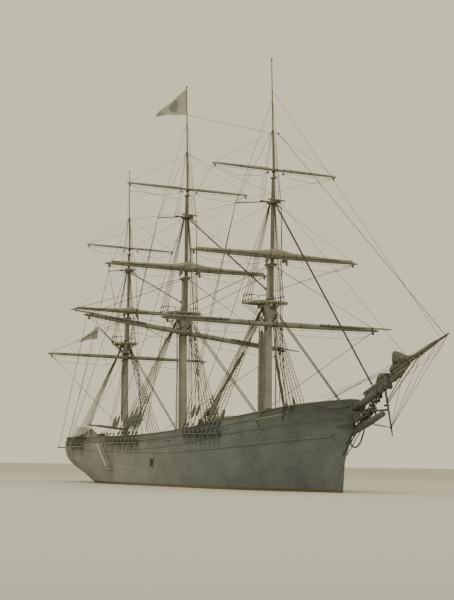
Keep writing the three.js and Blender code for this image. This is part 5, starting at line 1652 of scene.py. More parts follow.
# %% Rudder
rudder_outline = [(-24.6, -3.9), (-26.1, -3.85), (-26.2, -3.2), (-25.95, -1.6), (-25.5, 0.1), (-25.4, 0.75),
                  (-24.6, 0.45)]
blade = plate(rudder_outline, 0.2, cut=0.03)
stock = upright(-24.72, 0, 0, ((-3.9, 0.19), (-3.85, 0.2), (2.15, 0.2), (2.2, 0.19)), 24)
strap_z = np.array([-3.3, -1.9, -0.5])
straps = blocks(xyz(-25.75, -0.115, strap_z), xyz(-24.72, 0.115, strap_z + 0.12), slot=1)
rudder_wood = worn("rudder_wood", srgb(84, 74, 58), srgb(60, 54, 44), srgb(104, 94, 76), 1.5, (8, 8, 0.6))
piece("rudder_dressed", [blade, stock, straps], [rudder_wood, iron], "rudder_body", "rudder")

# %% Steering wheel and its box
POOP_DECK_Z = 4.86
wheel_x, wheel_z = -25.02, 5.78
box = tapered([(-26.2, -25.3, 0.4, POOP_DECK_Z), (-26.12, -25.3, 0.36, 5.9), (-26.1, -25.3, 0.34, 6.0),
               (-26.0, -25.32, 0.2, 6.1)])
lid = blocks([(-26.22, -0.38, 5.88)], [(-25.28, 0.38, 5.94)], slot=0, bevel=0.02)
panels = blocks([(-26.18, s * 0.395 - 0.012, 5.0 + 0.44 * k) for s in (-1, 1) for k in (0, 1)],
                [(-25.4, s * 0.395 + 0.012, 5.36 + 0.44 * k) for s in (-1, 1) for k in (0, 1)], bevel=0.01)
piece("wheel_box_panelled", [box, lid, panels], [rail_wood], replaces="wheel_box")

turn8 = np.arange(8) * np.pi / 4
spoke_rows = [(0.09, 0.03), (0.2, 0.022), (0.3, 0.034), (0.42, 0.024), (0.47, 0.03), (0.55, 0.022),
              (0.6, 0.026), (0.66, 0.016)]
out, girth = np.array(spoke_rows).T
path = xyz(wheel_x, np.outer(np.cos(turn8), out), wheel_z + np.outer(np.sin(turn8), out))
spokes = tube(path, np.tile(girth, (8, 1)), 8, reference=(1, 0, 0))
ring_t = np.linspace(0, 2 * np.pi, 49)
felloe_path = xyz(wheel_x, 0.5 * np.cos(ring_t), wheel_z + 0.5 * np.sin(ring_t))
felloe = carried(felloe_path, bar_outline(0.08, 0.075, 0.25), up=(1, 0, 0), ends=False)
brass_path = felloe_path + (0.042, 0, 0)
brass_ring = carried(brass_path, bar_outline(0.02, 0.008, 0.1), up=(1, 0, 0), ends=False, slot=1)
hub = turned([(-25.49, 0, wheel_z, 0.055), (-25.1, 0, wheel_z, 0.058), (-25.09, 0, wheel_z, 0.11),
              (-24.94, 0, wheel_z, 0.11), (-24.92, 0, wheel_z, 0.07)], 20)
brass = worn("old_brass", srgb(150, 128, 76), srgb(110, 92, 54), srgb(180, 160, 104), 4.0, (1, 1, 1), 0.4,
             0.002, 0.9)
piece("steering_wheel_turned", [spokes, felloe, brass_ring, hub], [upper_wood, brass], "wheel_body",
      "steering_wheel")

# %% Skylight
frames = tapered([(-22.2, -20.6, 0.8, POOP_DECK_Z), (-22.2, -20.6, 0.8, 5.12), (-22.0, -20.8, 0.3, 5.66),
                  (-22.0, -20.8, 0.3, 5.7)])
panes = []
for s in (-1, 1):
    for k in range(3):
        x = -22.0 + 0.45 * k
        panes.append(np.array([(x + 0.06, s * 0.765, 5.17), (x + 0.36, s * 0.765, 5.17),
                               (x + 0.36, s * 0.37, 5.6), (x + 0.06, s * 0.37, 5.6)]))
panes = np.stack(panes)
glass_parts = skins(np.stack([panes - (0, 0, 0.02), panes + (0, 0, 0.012)], 1), slot=1)
glass = worn("dull_glass", srgb(52, 56, 54), srgb(36, 40, 40), srgb(78, 82, 78), 1.0, (1, 1, 1), 0.22, 0.001)
guard = ropes([((-22.05 + 0.1 * k, s * 0.78, 5.2), (-22.05 + 0.1 * k, s * 0.36, 5.66)) for s in (-1, 1)
               for k in range(0, 14, 2)], 0.008, 4, slot=2)
piece("poop_skylight_glazed", [frames, glass_parts, guard], [rail_wood, glass, brass],
      replaces="poop_skylight")

# %% [markdown]
# ## Main deck
# Hatches with coamings and battened covers, the deckhouse with doors and windows, fife rails
# and pin rails at the fore and main masts, mooring bitts fore and aft, and bulwark stanchions
# inside the rail.

# %% Hatches
def deck_z(x, deck="well"):
    """Height of a deck at x: the rail less how far that deck lies below it."""
    return float(rail_z(x)) - {"well": WELL, "head": HEAD, "poop": POOP_RAIL}[deck]


def hatch(name, x0, x1, half, height):
    """Coaming, tarpaulin, battens and cleats of one hatch."""
    z = deck_z((x0 + x1) / 2)
    top = z + height
    sides = blocks([(x0, -half, z - 0.02)], [(x1, half, top - 0.06)], slot=0, bevel=0.03)
    coat = blocks([(x0 + 0.06, -half + 0.06, top - 0.07)], [(x1 - 0.06, half - 0.06, top)], slot=1,
                  bevel=0.03)
    bx = np.arange(x0 + 0.35, x1 - 0.2, 0.6)
    bats = blocks(xyz(bx, -half * 0.95, top - 0.01), xyz(bx + 0.08, half * 0.95, top + 0.02), bevel=0.01)
    cleat = [(x, s * half - 0.02, top - 0.25) for x in bx for s in (-1, 1)]
    irons = blocks(cleat, np.add(cleat, (0.08, 0.04, 0.12)), slot=2)
    piece(f"{name}_covered", [sides, coat, bats, irons], [rail_wood, hatch_cloth, iron], replaces=name)


hatch_cloth = worn("tarpaulin", srgb(96, 92, 78), srgb(74, 70, 60), srgb(120, 115, 98), 2.5, (1, 1, 1), 0.9,
                   0.01)
hatch("fore_hatch", 15.9, 17.4, 0.9, 0.6)
hatch("main_hatch", 0.4, 4.2, 1.5, 0.55)
hatch("after_hatch", -11.6, -9.4, 1.2, 0.5)

# %% Deckhouse
x0, x1, half, roof = 6.6, 11.6, 2.35, 7.42
base = deck_z(6.6) - 0.02
walls = blocks([(x0, -half, base)], [(x1, half, roof - 0.05)], bevel=0.02)
eave = blocks([(x0 - 0.2, -half - 0.2, roof - 0.1)], [(x1 + 0.2, half + 0.2, roof + 0.02)], bevel=0.03)
roof_top = blocks([(x0 - 0.12, -half - 0.12, roof + 0.015)], [(x1 + 0.12, half + 0.12, roof + 0.08)], slot=2,
                  bevel=0.03)
SILL, DOOR_Y = 6.35, 1.3
trim, windows, doors = [], [], []
for s in (-1, 1):
    for x in (7.4, 8.7, 10.0):
        windows.append(((x, s * half - 0.015, SILL), (x + 0.5, s * half + 0.015, 6.95)))
        for dx, dz, w, h in ((-0.07, -0.07, 0.64, 0.07), (-0.07, 0.6, 0.64, 0.07), (-0.07, 0, 0.07, 0.6),
                             (0.5, 0, 0.07, 0.6), (0.23, 0, 0.04, 0.6)):
            trim.append(((x + dx, s * half - 0.03, SILL + dz), (x + dx + w, s * half + 0.03, SILL + dz + h)))
    for xe in (x0, x1):
        y = s * DOOR_Y
        trim += [((xe - 0.03, y - 0.42, base + 0.1), (xe + 0.03, y - 0.36, 7.1)),
                 ((xe - 0.03, y + 0.36, base + 0.1), (xe + 0.03, y + 0.42, 7.1)),
                 ((xe - 0.03, y - 0.42, 7.04), (xe + 0.03, y + 0.42, 7.12))]
        doors.append(((xe - 0.012, y - 0.36, base + 0.12), (xe + 0.012, y + 0.36, 7.04)))
posts = [((x - 0.04, s * half - 0.02, base), (x + 0.04, s * half + 0.02, roof - 0.1))
         for x in (6.64, 8.3, 9.6, 11.56) for s in (-1, 1)]
parts = [walls, eave, roof_top]
for boxes, slot, bevel in ((trim, 3, 0.008), (posts, 3, 0.008), (windows, 1, 0.0), (doors, 4, 0.01)):
    low, high = np.array(boxes).swapaxes(0, 1)
    parts.append(blocks(low, high, slot, bevel))
piece("deckhouse_dressed", parts, [house_paint, glass, hatch_cloth, top_paint, rail_wood],
      replaces="deckhouse")


# %% Bulwark stanchions and pin rails
STANCHION_STEP = 1.1


def stanchions(first, last, depth, half_width, inboard):
    """Upright timbers every STANCHION_STEP along the inner side, from the deck to the rail."""
    x = np.arange(first, last, STANCHION_STEP)
    inner = np.minimum(half_at(x, rail_z(x) - depth), rail_half(x)) - BULWARK
    low = xyz(x - half_width, inner - inboard, rail_z(x) - depth - 0.02)
    return both_sides(blocks(low, xyz(x + half_width, inner + 0.02, rail_z(x) - 0.1), bevel=0.02))


posts = stanchions(POOP_BREAK + 0.6, HEAD_BREAK, WELL, 0.07, 0.13)
posts += stanchions(HEAD_BREAK + 0.7, 26.4, HEAD, 0.06, 0.1)
piece("bulwark_stanchions", posts, [rail_wood])

rails = []
for name in ("fore", "main"):
    xs = np.linspace(shroud_feet[name][0, 0], shroud_feet[name][-1, 0], 12)
    ys = np.minimum(half_at(xs, rail_z(xs) - WELL), rail_half(xs)) - BULWARK - 0.2
    rails.append(xyz(xs, ys, rail_z(xs) - 0.42))
pin_at = np.concatenate(rails)
pin_bodies = discs(pin_at, (0, 0, 1), 0.028, 0.42, 8,
                   ((-1, 0.7), (-0.1, 0.7), (0, 1), (0.2, 0.6), (0.7, 1.1), (1, 0.6)))
parts = [p for part in [carried(r, bar_outline(0.16, 0.06, 0.2)) for r in rails] + [pin_bodies]
         for p in both_sides(part)]
coil_at = pin_at[::2] - (0, 0.06, 0.24)
t = np.linspace(0, 2 * np.pi * 4, 60)
loops = coil_at[:, None] + xyz(0.1 * np.sin(t), -0.02 - 0.006 * t, 0.2 * np.cos(t))
coils = tube(loops, 0.017, 5, slot=1, reference=(0, 1, 0))
piece("pin_rails", parts + both_sides(coils), [rail_wood, hemp])

# %% Fife rails and mooring bitts
fife = []
for x in (14.15, -3.95):
    z = deck_z(x) + 0.05
    for y in (-1.05, 1.05):
        fife += [blocks([(x + a, y - 0.1, z - 0.1)], [(x + a + 0.2, y + 0.1, z + 1.0)], bevel=0.03)
                 for a in (-1.0, 0.8)]
        fife.append(blocks([(x - 1.15, y - 0.08, z + 0.78)], [(x + 1.15, y + 0.08, z + 0.88)], bevel=0.02))
    fife.append(blocks([(x + 0.84, -1.2, z + 0.6)], [(x + 0.98, 1.2, z + 0.72)], bevel=0.02))
for x, y in ((-26.9, 3.93), (-18.0, 4.4), (20.6, 4.0), (26.0, 1.5)):
    z = deck_z(x, "poop" if x < 0 else "head")
    for across in (-y, y):
        heads = [(x + dx, across, z + 0.28) for dx in (-0.35, 0.35)]
        fife.append(discs(heads, (0, 0, 1), 0.13, 0.62, 16, ((-1, 1), (0.55, 1), (0.6, 1.2), (1, 1.15)),
                          slot=1))
        fife.append(blocks([(x - 0.55, across - 0.2, z - 0.04)], [(x + 0.55, across + 0.2, z + 0.04)], slot=1,
                           bevel=0.02))
piece("bitts_and_fife_rails", fife, [rail_wood, iron])

# %% [markdown]
# ## Anchors, cathead gear and capstan
# The anchors are stowed along the rail under their catheads: a long shank, a wooden stock
# standing upright, and two curved arms with flukes. On the forecastle stands the capstan, with
# whelps that grip the rope; the holes for its bars are thin dark discs on the drumhead, painted shade rather
# than cut holes.

# %% Anchors
anchor_iron = worn("pale_anchor", srgb(122, 124, 113), srgb(94, 95, 86), srgb(144, 145, 135), 3.0, (1, 1, 1),
                   0.7, 0.006, 0.3)


def anchor_parts():
    """The starboard anchor, in the frame's own place."""
    ring_end, crown = np.array([25.0, -5.0, 7.25]), np.array([20.72, -5.45, 6.85])
    run = crown - ring_end
    shank = turned([(*(ring_end + run * s), r)
                    for s, r in ((0, 0.075), (0.01, 0.09), (0.5, 0.1), (0.97, 0.12), (1, 0.1))], 10)
    arms = []
    for tip, bend in (((21.6, -4.4, 7.9), (20.95, -4.95, 7.5)), ((21.5, -5.1, 5.7), (20.95, -5.32, 6.2))):
        tip = np.array(tip)
        path = smooth([crown + (0.05, 0, 0), bend, tip], 6)
        size = np.linspace(0.115, 0.05, len(path))
        arms.append(tube(path, size[None], 8, slot=2))
        run_out = (tip - path[-4]) / np.linalg.norm(tip - path[-4])
        across = np.cross(run_out, (0.97, 0.1, 0.1))
        across /= np.linalg.norm(across)
        palm_mid = tip - run_out * 0.26
        inward = np.array([0.9, 0.05, 0.05])
        palm = [palm_mid - run_out * 0.24 - across * 0.2, palm_mid - run_out * 0.24 + across * 0.2,
                palm_mid + run_out * 0.1 + across * 0.15, palm_mid + run_out * 0.28,
                palm_mid + run_out * 0.1 - across * 0.15]
        palm = np.array(palm)
        arms.append(skins(np.stack([palm + inward * 0.01, palm + inward * 0.05])[None], slot=2))
    stock_top, stock_low = np.array([24.7, -5.05, 8.0]), np.array([24.7, -4.95, 6.6])
    s = np.linspace(0, 1, 9)
    path = stock_top + (stock_low - stock_top) * s[:, None]
    wide = 0.07 + 0.06 * (1 - np.abs(2 * s - 1))
    stock = tube(path, wide[None], 8, slot=1, start=math.pi / 8)
    straps = discs(path[[2, 6]], stock_low - stock_top, 0.118, 0.07, 16, slot=2)
    t = np.linspace(0, 2 * np.pi, 21)
    ring = ring_end + xyz(0.12 + 0.13 * np.cos(t), 0, 0.13 * np.sin(t))
    shackle = carried(ring, bar_outline(0.05, 0.05, 0.3), up=(0, 1, 0), ends=False, slot=2)
    return [shank, stock, straps, shackle] + arms


starboard = anchor_parts()
port = [both_sides(p)[1] for p in starboard]
for side, parts in (("starboard", starboard), ("port", port)):
    piece(f"anchor_{side}_forged", parts, [anchor_iron, dark_wood, head_paint], replaces=f"anchor_{side}")

# %% Catheads and bumpkins
cat_parts = []
for s in (-1, 1):
    a, b = np.array([23.6, s * 3.2, 7.6]), np.array([25.6, s * 5.35, 8.15])
    cat_parts.append(bars([(a, b)], 0.34, 0.36, cut=0.12))
    cat_parts.append(bars([(b - (b - a) * 0.1, b - (b - a) * 0.06)], 0.38, 0.4, slot=1))
    cat_parts.append(ropes([(b - (0.1, s * 0.1, 0.2), (25.0, s * 5.05, 7.36))], 0.03, 6, slot=2))
    cat_parts.append(pulleys([b - (0.1, s * 0.1, 0.42)], (0, 0, 1), 0.34, slot=1))
    cat_parts.append(ropes([((22.3, s * 4.7, float(rail_z(22.3))), (22.0, s * 5.32, 6.95))], 0.03, 6, slot=2))
    a, b = np.array([-25.6, s * 4.3, 4.2]), np.array([-26.6, s * 5.6, 4.25])
    cat_parts.append(bars([(a, b)], 0.16, 0.16))
    cat_parts.append(discs([b - (b - a) * 0.05], b - a, 0.12, 0.1, 12, slot=1))
piece("catheads_and_bumpkins", cat_parts, [hull_side, iron, tarred])

# %% Capstan
cx, cz = 23.4, deck_z(23.4, "head") + 0.06
base_rows = [(-0.02, 0.53), (0.0, 0.55), (0.07, 0.55), (0.1, 0.5), (0.1, 0.1), (0.75, 0.1)]
piece("capstan_bed", [upright(cx, 0, cz, base_rows, 32)], [iron], replaces="capstan_base")
drum_rows = [(0.113, 0.4), (0.118, 0.42), (0.2, 0.42), (0.24, 0.33), (0.35, 0.24), (0.75, 0.21),
             (0.83, 0.36), (0.85, 0.4), (1.0, 0.4), (1.04, 0.36), (1.08, 0.28)]
drum = upright(cx, 0, cz, drum_rows, 32)
whelps, holes = [], []
for k in range(8):
    t = k * math.pi / 4
    c, s = math.cos(t), math.sin(t)
    path = np.array([(cx + r * c, r * s, cz + a)
                     for a, r in ((0.2, 0.34), (0.32, 0.25), (0.55, 0.2), (0.76, 0.23), (0.82, 0.33))])
    whelps.append(carried(path, bar_outline(0.09, 0.09, 0.2), up=(c, s, 0)))
    # Each hole for a bar is a thin dark disc on the drumhead: painted shade of a hole, not a cut.
    hole = np.array([cx + 0.4 * c, 0.4 * s, cz + 0.925])
    holes.append(discs([hole], (c, s, 0), 0.045, 0.008, 4, ((-1, 1), (1, 1)), slot=1))
piece("capstan_whelped", [drum] + whelps + holes, [rail_wood, dark_lid_and_hole_shade], "capstan_body", "capstan")

# %% Windlass, spare spars and casks
gear = []
wx = 17.8
mz = deck_z(wx) + 0.55
gear.append(turned([(wx, -1.5, mz, 0.2), (wx, -1.2, mz, 0.3), (wx, -0.3, mz, 0.24), (wx, 0, mz, 0.34),
                    (wx, 0.3, mz, 0.24), (wx, 1.2, mz, 0.3), (wx, 1.5, mz, 0.2)], 12))
gear += [blocks([(wx - 0.3, y - 0.09, mz - 0.6)], [(wx + 0.25, y + 0.09, mz + 0.45)], bevel=0.03)
         for y in (-0.75, 0.75)]
for x, y, z0, n in ((-0.4, 3.4, deck_z(-0.4) + 0.1, 3), (5.2, -3.6, deck_z(5.2) + 0.1, 2)):
    for k in range(n):
        gear.append(turned([(x - 3.4, y + 0.24 * k, z0, 0.07), (x - 1, y + 0.24 * k, z0, 0.11),
                            (x + 3.4, y + 0.24 * k, z0, 0.06)], 12))
for x, y in ((-14.6, 3.3), (-14.6, -3.3), (13.0, 3.2), (13.0, -3.2)):
    z0 = deck_z(x) + 0.06
    gear.append(upright(x, y, z0, ((0, 0.26), (0.2, 0.32), (0.5, 0.34), (0.8, 0.31), (0.95, 0.26)), 18))
    gear.append(placed(hoops([0.14, 0.34, 0.68, 0.86], [0.285, 0.32, 0.315, 0.285],
                             [0.31, 0.345, 0.34, 0.31], 0.05, 18, slot=1),
                       lambda v, x=x, y=y, z0=z0: v + (x, y, z0)))
piece("windlass_spars_and_casks", gear, [rail_wood, iron])

# %% Bell
bell_x, bell_z = 18.95, deck_z(18.95, "head")
posts = [upright(bell_x, s * 0.32, bell_z, ((0, 0.04), (0.85, 0.035)), 8) for s in (-1, 1)]
posts.append(blocks([(bell_x - 0.05, -0.4, bell_z + 0.82)], [(bell_x + 0.05, 0.4, bell_z + 0.9)], bevel=0.01))
bell_rows = ((0.42, 0.17), (0.46, 0.15), (0.6, 0.1), (0.72, 0.08), (0.78, 0.03), (0.83, 0.02))
bell = upright(bell_x, 0, bell_z, bell_rows, 20, slot=1)
piece("ships_bell", posts + [bell], [rail_wood, brass])

# %% Side ladder
top_end, low_end = np.array([-13.75, -5.76, 4.62]), np.array([-10.85, -5.86, 1.95])
run = low_end - top_end
side_planks = bars([(top_end + (0, dy, 0), low_end + (0, dy, 0)) for dy in (0.0, -0.5)], 0.07, 0.28)
share = np.linspace(0.03, 0.97, 16)[:, None]
mid = top_end + run * share
treads = blocks(mid + (-0.12, -0.47, -0.02), mid + (0.12, -0.03, 0.02))
platform = blocks([low_end + (-0.1, -0.58, -0.2)], [low_end + (0.8, 0.05, -0.14)], bevel=0.02)
stand = [(top_end + run * s + (0, -0.5, 0.1), top_end + run * s + (0, -0.5, 0.85))
         for s in (0.05, 0.35, 0.65, 0.95)]
rope_rail = [(a[1], b[1]) for a, b in zip(stand[:-1], stand[1:])]
hung_by = [(low_end + (0.4, dy, -0.15), np.array([-10.2, -5.95, 4.55])) for dy in (-0.5, 0.0)]
ladder = [side_planks, treads, platform, ropes(stand, 0.02, 6), ropes(rope_rail + hung_by, 0.018, 5, slot=1)]
piece("side_ladder", ladder, [house_paint, hemp])

# %% Tackles of the fore mast
pendant = [((14.0, s * 0.5, 18.2), (12.26, s * 2.0, 13.88)) for s in (-1, 1)]
tackle = [((12.26, s * 2.0, 13.88), (10.05, s * 4.8, 7.6)) for s in (-1, 1)]
tackle_blocks = pulleys([a for a, _ in tackle] + [b for _, b in tackle], tackle[0][0], 0.42, slot=1)
straight = [((13.8, s * 1.0, 17.9), (14.0, s * 1.0, 6.6)) for s in (-1, 1)]
piece("fore_tackles",
      [ropes(pendant, 0.06, 6), ropes(tackle, 0.16, 8), ropes(straight, 0.06, 6), tackle_blocks],
      [manila, dark_wood])

# %% [markdown]
# ## Canvas
# Old sailcloth is grey and uneven. Each furled topsail is a roll of folded cloth lashed to its
# yard by gaskets: fat at the bunt in the middle, thin at the arms, and squeezed at each
# lashing. The tent on the poop hangs over a ridge rope and is drawn out to the
# starboard rail by guys.

# %% Canvas and flags: finishes
def woven(name, base, dark, light, seam=0.6):
    """Cloth with sewn seams along V every `seam` metres of the piece's UV."""
    material = worn(name, base, dark, light, 1.6, (1, 1, 1), 0.92, 0.012)
    tree, paint, colour_in = paint_of(material)
    uv = link(tree, "ShaderNodeTexCoord").outputs["UV"]
    along = link(tree, "ShaderNodeSeparateXYZ", {"Vector": uv}).outputs[0]
    line = remapped(tree, reckoned(tree, "MODULO", along, seam), 0.0, 0.035, 1.0, 0.0)
    tree.links.new(blended(tree, line, paint, dark), colour_in)
    return material


canvas = woven("canvas", srgb(144, 142, 124), srgb(112, 111, 95), srgb(166, 164, 147))
tent_canvas = woven("tent_canvas", srgb(186, 184, 172), srgb(160, 158, 146), srgb(204, 202, 190))
dark_canvas_and_tent_shade = woven("dark_canvas_and_tent_shade", srgb(100, 101, 88), srgb(74, 75, 65), srgb(122, 122, 108))
print("canvas ready")

# %% Furled topsails
BUNT_AT = (-0.93, -0.6, -0.36, -0.17, 0, 0.17, 0.36, 0.6, 0.93)
BUNT = (0.38, 0.5, 0.7, 1.0, 2.0, 1.0, 0.7, 0.5, 0.38)


def furled(name):
    """A roll whose section is round; the radius is the bunt's, less 14 per cent at each gasket
    and with folds along it; what would enter the yard is pushed out to the yard's surface."""
    mast, _, z, half, r, ahead = YARDS[name][:6]
    seed = sum(map(ord, name))
    n = int(half * 16)
    y = np.linspace(-0.93 * half, 0.93 * half, n)
    q = r * 1.15 * np.interp(y / half, BUNT_AT, BUNT)
    t = np.arange(28) * 2 * np.pi / 28
    gaskets = np.linspace(-0.86, 0.86, 2 * int(half / 1.5)) * half
    pinch = np.exp(-((y[:, None] - gaskets) ** 2) / 0.012).sum(1)
    folds = (0.05 * np.sin(5 * t + 1.3 * np.sin(1.7 * y[:, None] + seed))
             + 0.035 * np.sin(9 * t - 1.1 * y[:, None]))
    puff = 0.04 * np.sin(2.9 * y[:, None] + 2 * np.sin(t + seed))
    radius = q[:, None] * (0.9 + folds + puff - 0.16 * pinch[:, None])
    x = ahead + r * 0.9 + radius * np.cos(t)
    h = z + r * 0.8 + (q * 0.45)[:, None] + radius * np.sin(t)
    dx, dh = x - ahead, h - z
    d = np.hypot(dx, dh)
    keep = yard_radius(name, y)[:, None] + 0.012
    grow = np.where(d < keep, keep / np.maximum(d, 1e-6), 1)
    x, h = ahead + dx * grow, z + dh * grow
    ring_grid = xyz(x, y[:, None], h)[:, ::-1]
    lash = []
    for g in gaskets:
        i = int(np.argmin(abs(y - g)))
        middle = ring_grid[i].mean(0)
        loop = middle + (ring_grid[i] - middle) * 1.03
        loop = np.concatenate([loop, loop[:1]])
        for off in (-0.04, 0.04):
            lash.append(carried(loop + (0, off, 0), bar_outline(0.03, 0.03, 0.3), up=(0, 1, 0), ends=False,
                                slot=1))
    clews = []
    for s in (-1, 1):
        drop = np.linspace(0, 1, 7)
        path = xyz(ahead + r * 1.1, s * (0.1 * half + 0.25 * drop), z + 0.1 - 1.05 * drop)
        clews.append(tube(path[None], (r * (1 - drop) ** 0.6 + 0.04)[None], 9, slot=2))
    place = on_yard(name)
    roll = piece(f"{mast}_topsail_cloth", [placed(skins(ring_grid[None]), place)], [canvas], f"{name}_body",
                 f"{mast}_topsail_furled", crisp=80)
    piece(f"{mast}_topsail_gaskets", [placed(p, place) for p in lash + clews], [canvas, hemp, dark_canvas_and_tent_shade],
          f"{name}_body")


for name in ("fore_topsail_yard", "main_topsail_yard", "mizzen_topsail_yard"):
    furled(name)

# %% Furled headsail
ahead_x = np.linspace(35.38, 41.5, 90)
HEADSAIL_AT = (35.35, 35.7, 36.5, 37.6, 38.4, 41.6)
centre_z = np.interp(ahead_x, HEADSAIL_AT, (11.5, 12.38, 12.2, 12.1, 12.32, 13.48))
thick = np.interp(ahead_x, HEADSAIL_AT, (0.15, 0.6, 0.46, 0.26, 0.17, 0.09))
t = np.arange(24) * 2 * np.pi / 24
gasket_x = np.linspace(36.0, 41.0, 9)
pinch = np.exp(-((ahead_x[:, None] - gasket_x) ** 2) / 0.01).sum(1)
folds = (0.07 * np.sin(4 * t + 2.1 * np.sin(1.9 * ahead_x[:, None]))
         + 0.04 * np.sin(9 * t + 1.7 * ahead_x[:, None]))
radius = thick[:, None] * (0.88 + folds - 0.18 * pinch[:, None])
boom_z = np.interp(ahead_x, jib_rows[:, 0], jib_rows[:, 2])
boom_r = np.interp(ahead_x, jib_rows[:, 0], jib_rows[:, 3])
y = radius * np.sin(t)
h = centre_z[:, None] + radius * np.cos(t)
d = np.hypot(y, h - boom_z[:, None])
grow = np.where(d < boom_r[:, None] + 0.01, (boom_r[:, None] + 0.01) / np.maximum(d, 1e-6), 1)
grid = xyz(ahead_x[:, None], y * grow, boom_z[:, None] + (h - boom_z[:, None]) * grow)
jib = piece("furled_headsail_cloth", [skins(grid[None, :, ::-1])], [dark_canvas_and_tent_shade], replaces="furled_jib",
            crisp=80)

# %% Sails stowed on and under the jibboom
def stowed_roll(name, centre, radius, squash, seed, reference, cloth):
    """A bundle of folded cloth along a path: the radius times 1 + 0.12 sin 3t' + 0.07 sin 7t',
    where t' turns along the path, and drawn in at lashings every seventh row."""
    centre, radius = np.asarray(centre, float), np.asarray(radius, float)
    n = len(centre)
    grid = rings(centre[None], 1.0, 22, reference=reference, squash=squash)[0]
    t = np.arange(22) * 2 * np.pi / 22
    row = np.arange(n)[:, None]
    folds = 1 + 0.12 * np.sin(3 * t + 0.5 * np.sin(0.31 * row + seed)) + 0.07 * np.sin(7 * t - 0.12 * row)
    lashed = 1 - 0.2 * (row % 7 == 3)
    grid = centre[:, None] + (grid - centre[:, None]) * (radius[:, None] * folds * lashed)[..., None]
    roll = piece(name, [skins(grid[None])], [cloth], crisp=80)


x = np.linspace(34.9, 37.7, 36)
q = np.interp(x, (34.9, 35.3, 36.2, 37.0, 37.7), (0.16, 0.3, 0.26, 0.16, 0.08))
under = xyz(x, 0, np.interp(x, jib_rows[:, 0], jib_rows[:, 2] - jib_rows[:, 3]) - q * 1.22)
stowed_roll("staysail_stowed", under, q, 1.1, 0.4, (0, 0, 1), dark_canvas_and_tent_shade)
for name, at, sizes in (("staysail_head_stowed", (32.7, 33.2, 33.7, 34.2), (0.06, 0.22, 0.23, 0.1)),
                        ("jib_foot_stowed", (34.85, 35.2, 35.7, 36.2, 36.9), (0.12, 0.24, 0.2, 0.17, 0.05))):
    x = np.linspace(at[0], at[-1], 29)
    q = np.interp(x, at, sizes)
    over = xyz(x, 0, np.interp(x, jib_rows[:, 0], jib_rows[:, 2] + jib_rows[:, 3]) + q * 1.22)
    stowed_roll(name, over, q, 1.1, 0.9, (0, 0, 1), dark_canvas_and_tent_shade)

# %% Trysail masts and the sails brailed up behind the masts
TRYSAILS = {
    # pole: z of foot and head, how far aft of the mast's axis, radius;
    # roll: z of foot and head, how far aft, radius, squash
    "fore": (5.6, 17.9, 0.74, 0.13, 6.6, 16.4, 1.42, 0.4, 0.8),
    "main": (4.3, 18.3, 0.76, 0.15, 0, 0, 0, 0, 0),
    "mizzen": (7.3, 15.2, 0.6, 0.1, 7.6, 15.1, 0.88, 0.17, 1.0),
}
poles = []
for name, (foot, head, aft, r, low, high, roll_aft, roll_r, squash) in TRYSAILS.items():
    place = on_axis(masts[name]["lower"])
    poles.append(placed(turned([(-aft, 0, foot, r), (-aft, 0, head, r * 0.9)], 16), place))
    irons = blocks([(-aft, -0.05, z - 0.05) for z in (foot + 0.4, head - 0.3)],
                   [(-masts[name]["seat"] * 0.8, 0.05, z + 0.05) for z in (foot + 0.4, head - 0.3)], slot=1)
    poles.append(placed(irons, place))
    if roll_r:
        z = np.linspace(low, high, 71)
        taper = np.interp(z, (low, low + 0.5, high - 1.2, high), (0.55, 1.0, 0.95, 0.45))
        lean = xyz(-roll_aft, 0, z)
        stowed_roll(f"{name}_trysail_brailed", place(lean), roll_r * taper, squash, 1.7, (1, 0, 0), canvas)
piece("trysail_masts", poles, [mast_paint, iron])

# %% Tent on the poop
TENT = {"aft": -28.0, "fore": -24.0, "port": -1.1, "ridge_y": -2.3, "starboard": -3.5, "eaves": 5.55,
        "ridge": 6.78}
tent_x = np.linspace(TENT["aft"], TENT["fore"], 73)[:, None]
along = (tent_x - TENT["aft"]) / (TENT["fore"] - TENT["aft"])
lift = 0.16 * (1 - along) + 0.28 * along**2
deck = rail_z(tent_x) - POOP_RAIL + 0.01
down, slope = np.linspace(1, 0, 9)[:-1], np.linspace(0, 1, 17)
# Columns run from the starboard foot over the ridge to the port foot.
fall = np.concatenate([down, 0 * slope, 0 * slope[:-1], down[::-1]])[None]
climb = np.concatenate([0 * down, slope, slope[-2::-1], 0 * down])[None]
side = np.sign(np.linspace(-1, 1, fall.shape[1]))[None]
eaves = TENT["eaves"] + lift
ridge = TENT["ridge"] + 0.16 * (1 - along) - 0.05 * np.sin(np.pi * along) - 0.1 * along**3
sag = 0.09 * np.sin(np.pi * climb) * (0.75 + 0.25 * np.cos(5.2 * (tent_x - TENT["aft"]))) * (fall == 0)
waves = np.sin(9.0 * tent_x + 1.5 * np.sin(2.3 * tent_x + side) + 0.8 * fall)
folds = (0.025 + 0.03 * fall) * waves * (fall > 0)
half_width = np.where(side < 0, TENT["ridge_y"] - TENT["starboard"], TENT["port"] - TENT["ridge_y"]) - 0.05
tent_y = TENT["ridge_y"] + side * (half_width * (1 - climb) + folds)
scallop = 0.03 * np.cos(2 * np.pi * (tent_x - TENT["aft"]) / 1.2)
tent_z = eaves + scallop + (ridge - eaves - scallop) * climb - sag + (deck - eaves - scallop) * fall
ends_lean = np.clip((-25.2 - tent_x) / 2.8, 0, 1) * (0.75 - 1.0 * climb) + 0 * tent_z
tent_grid = xyz(tent_x + ends_lean, tent_y, tent_z)
tent_part = shell(tent_grid, 0.014)
middles = tent_part["verts"][tent_part["quads"]].mean(1)
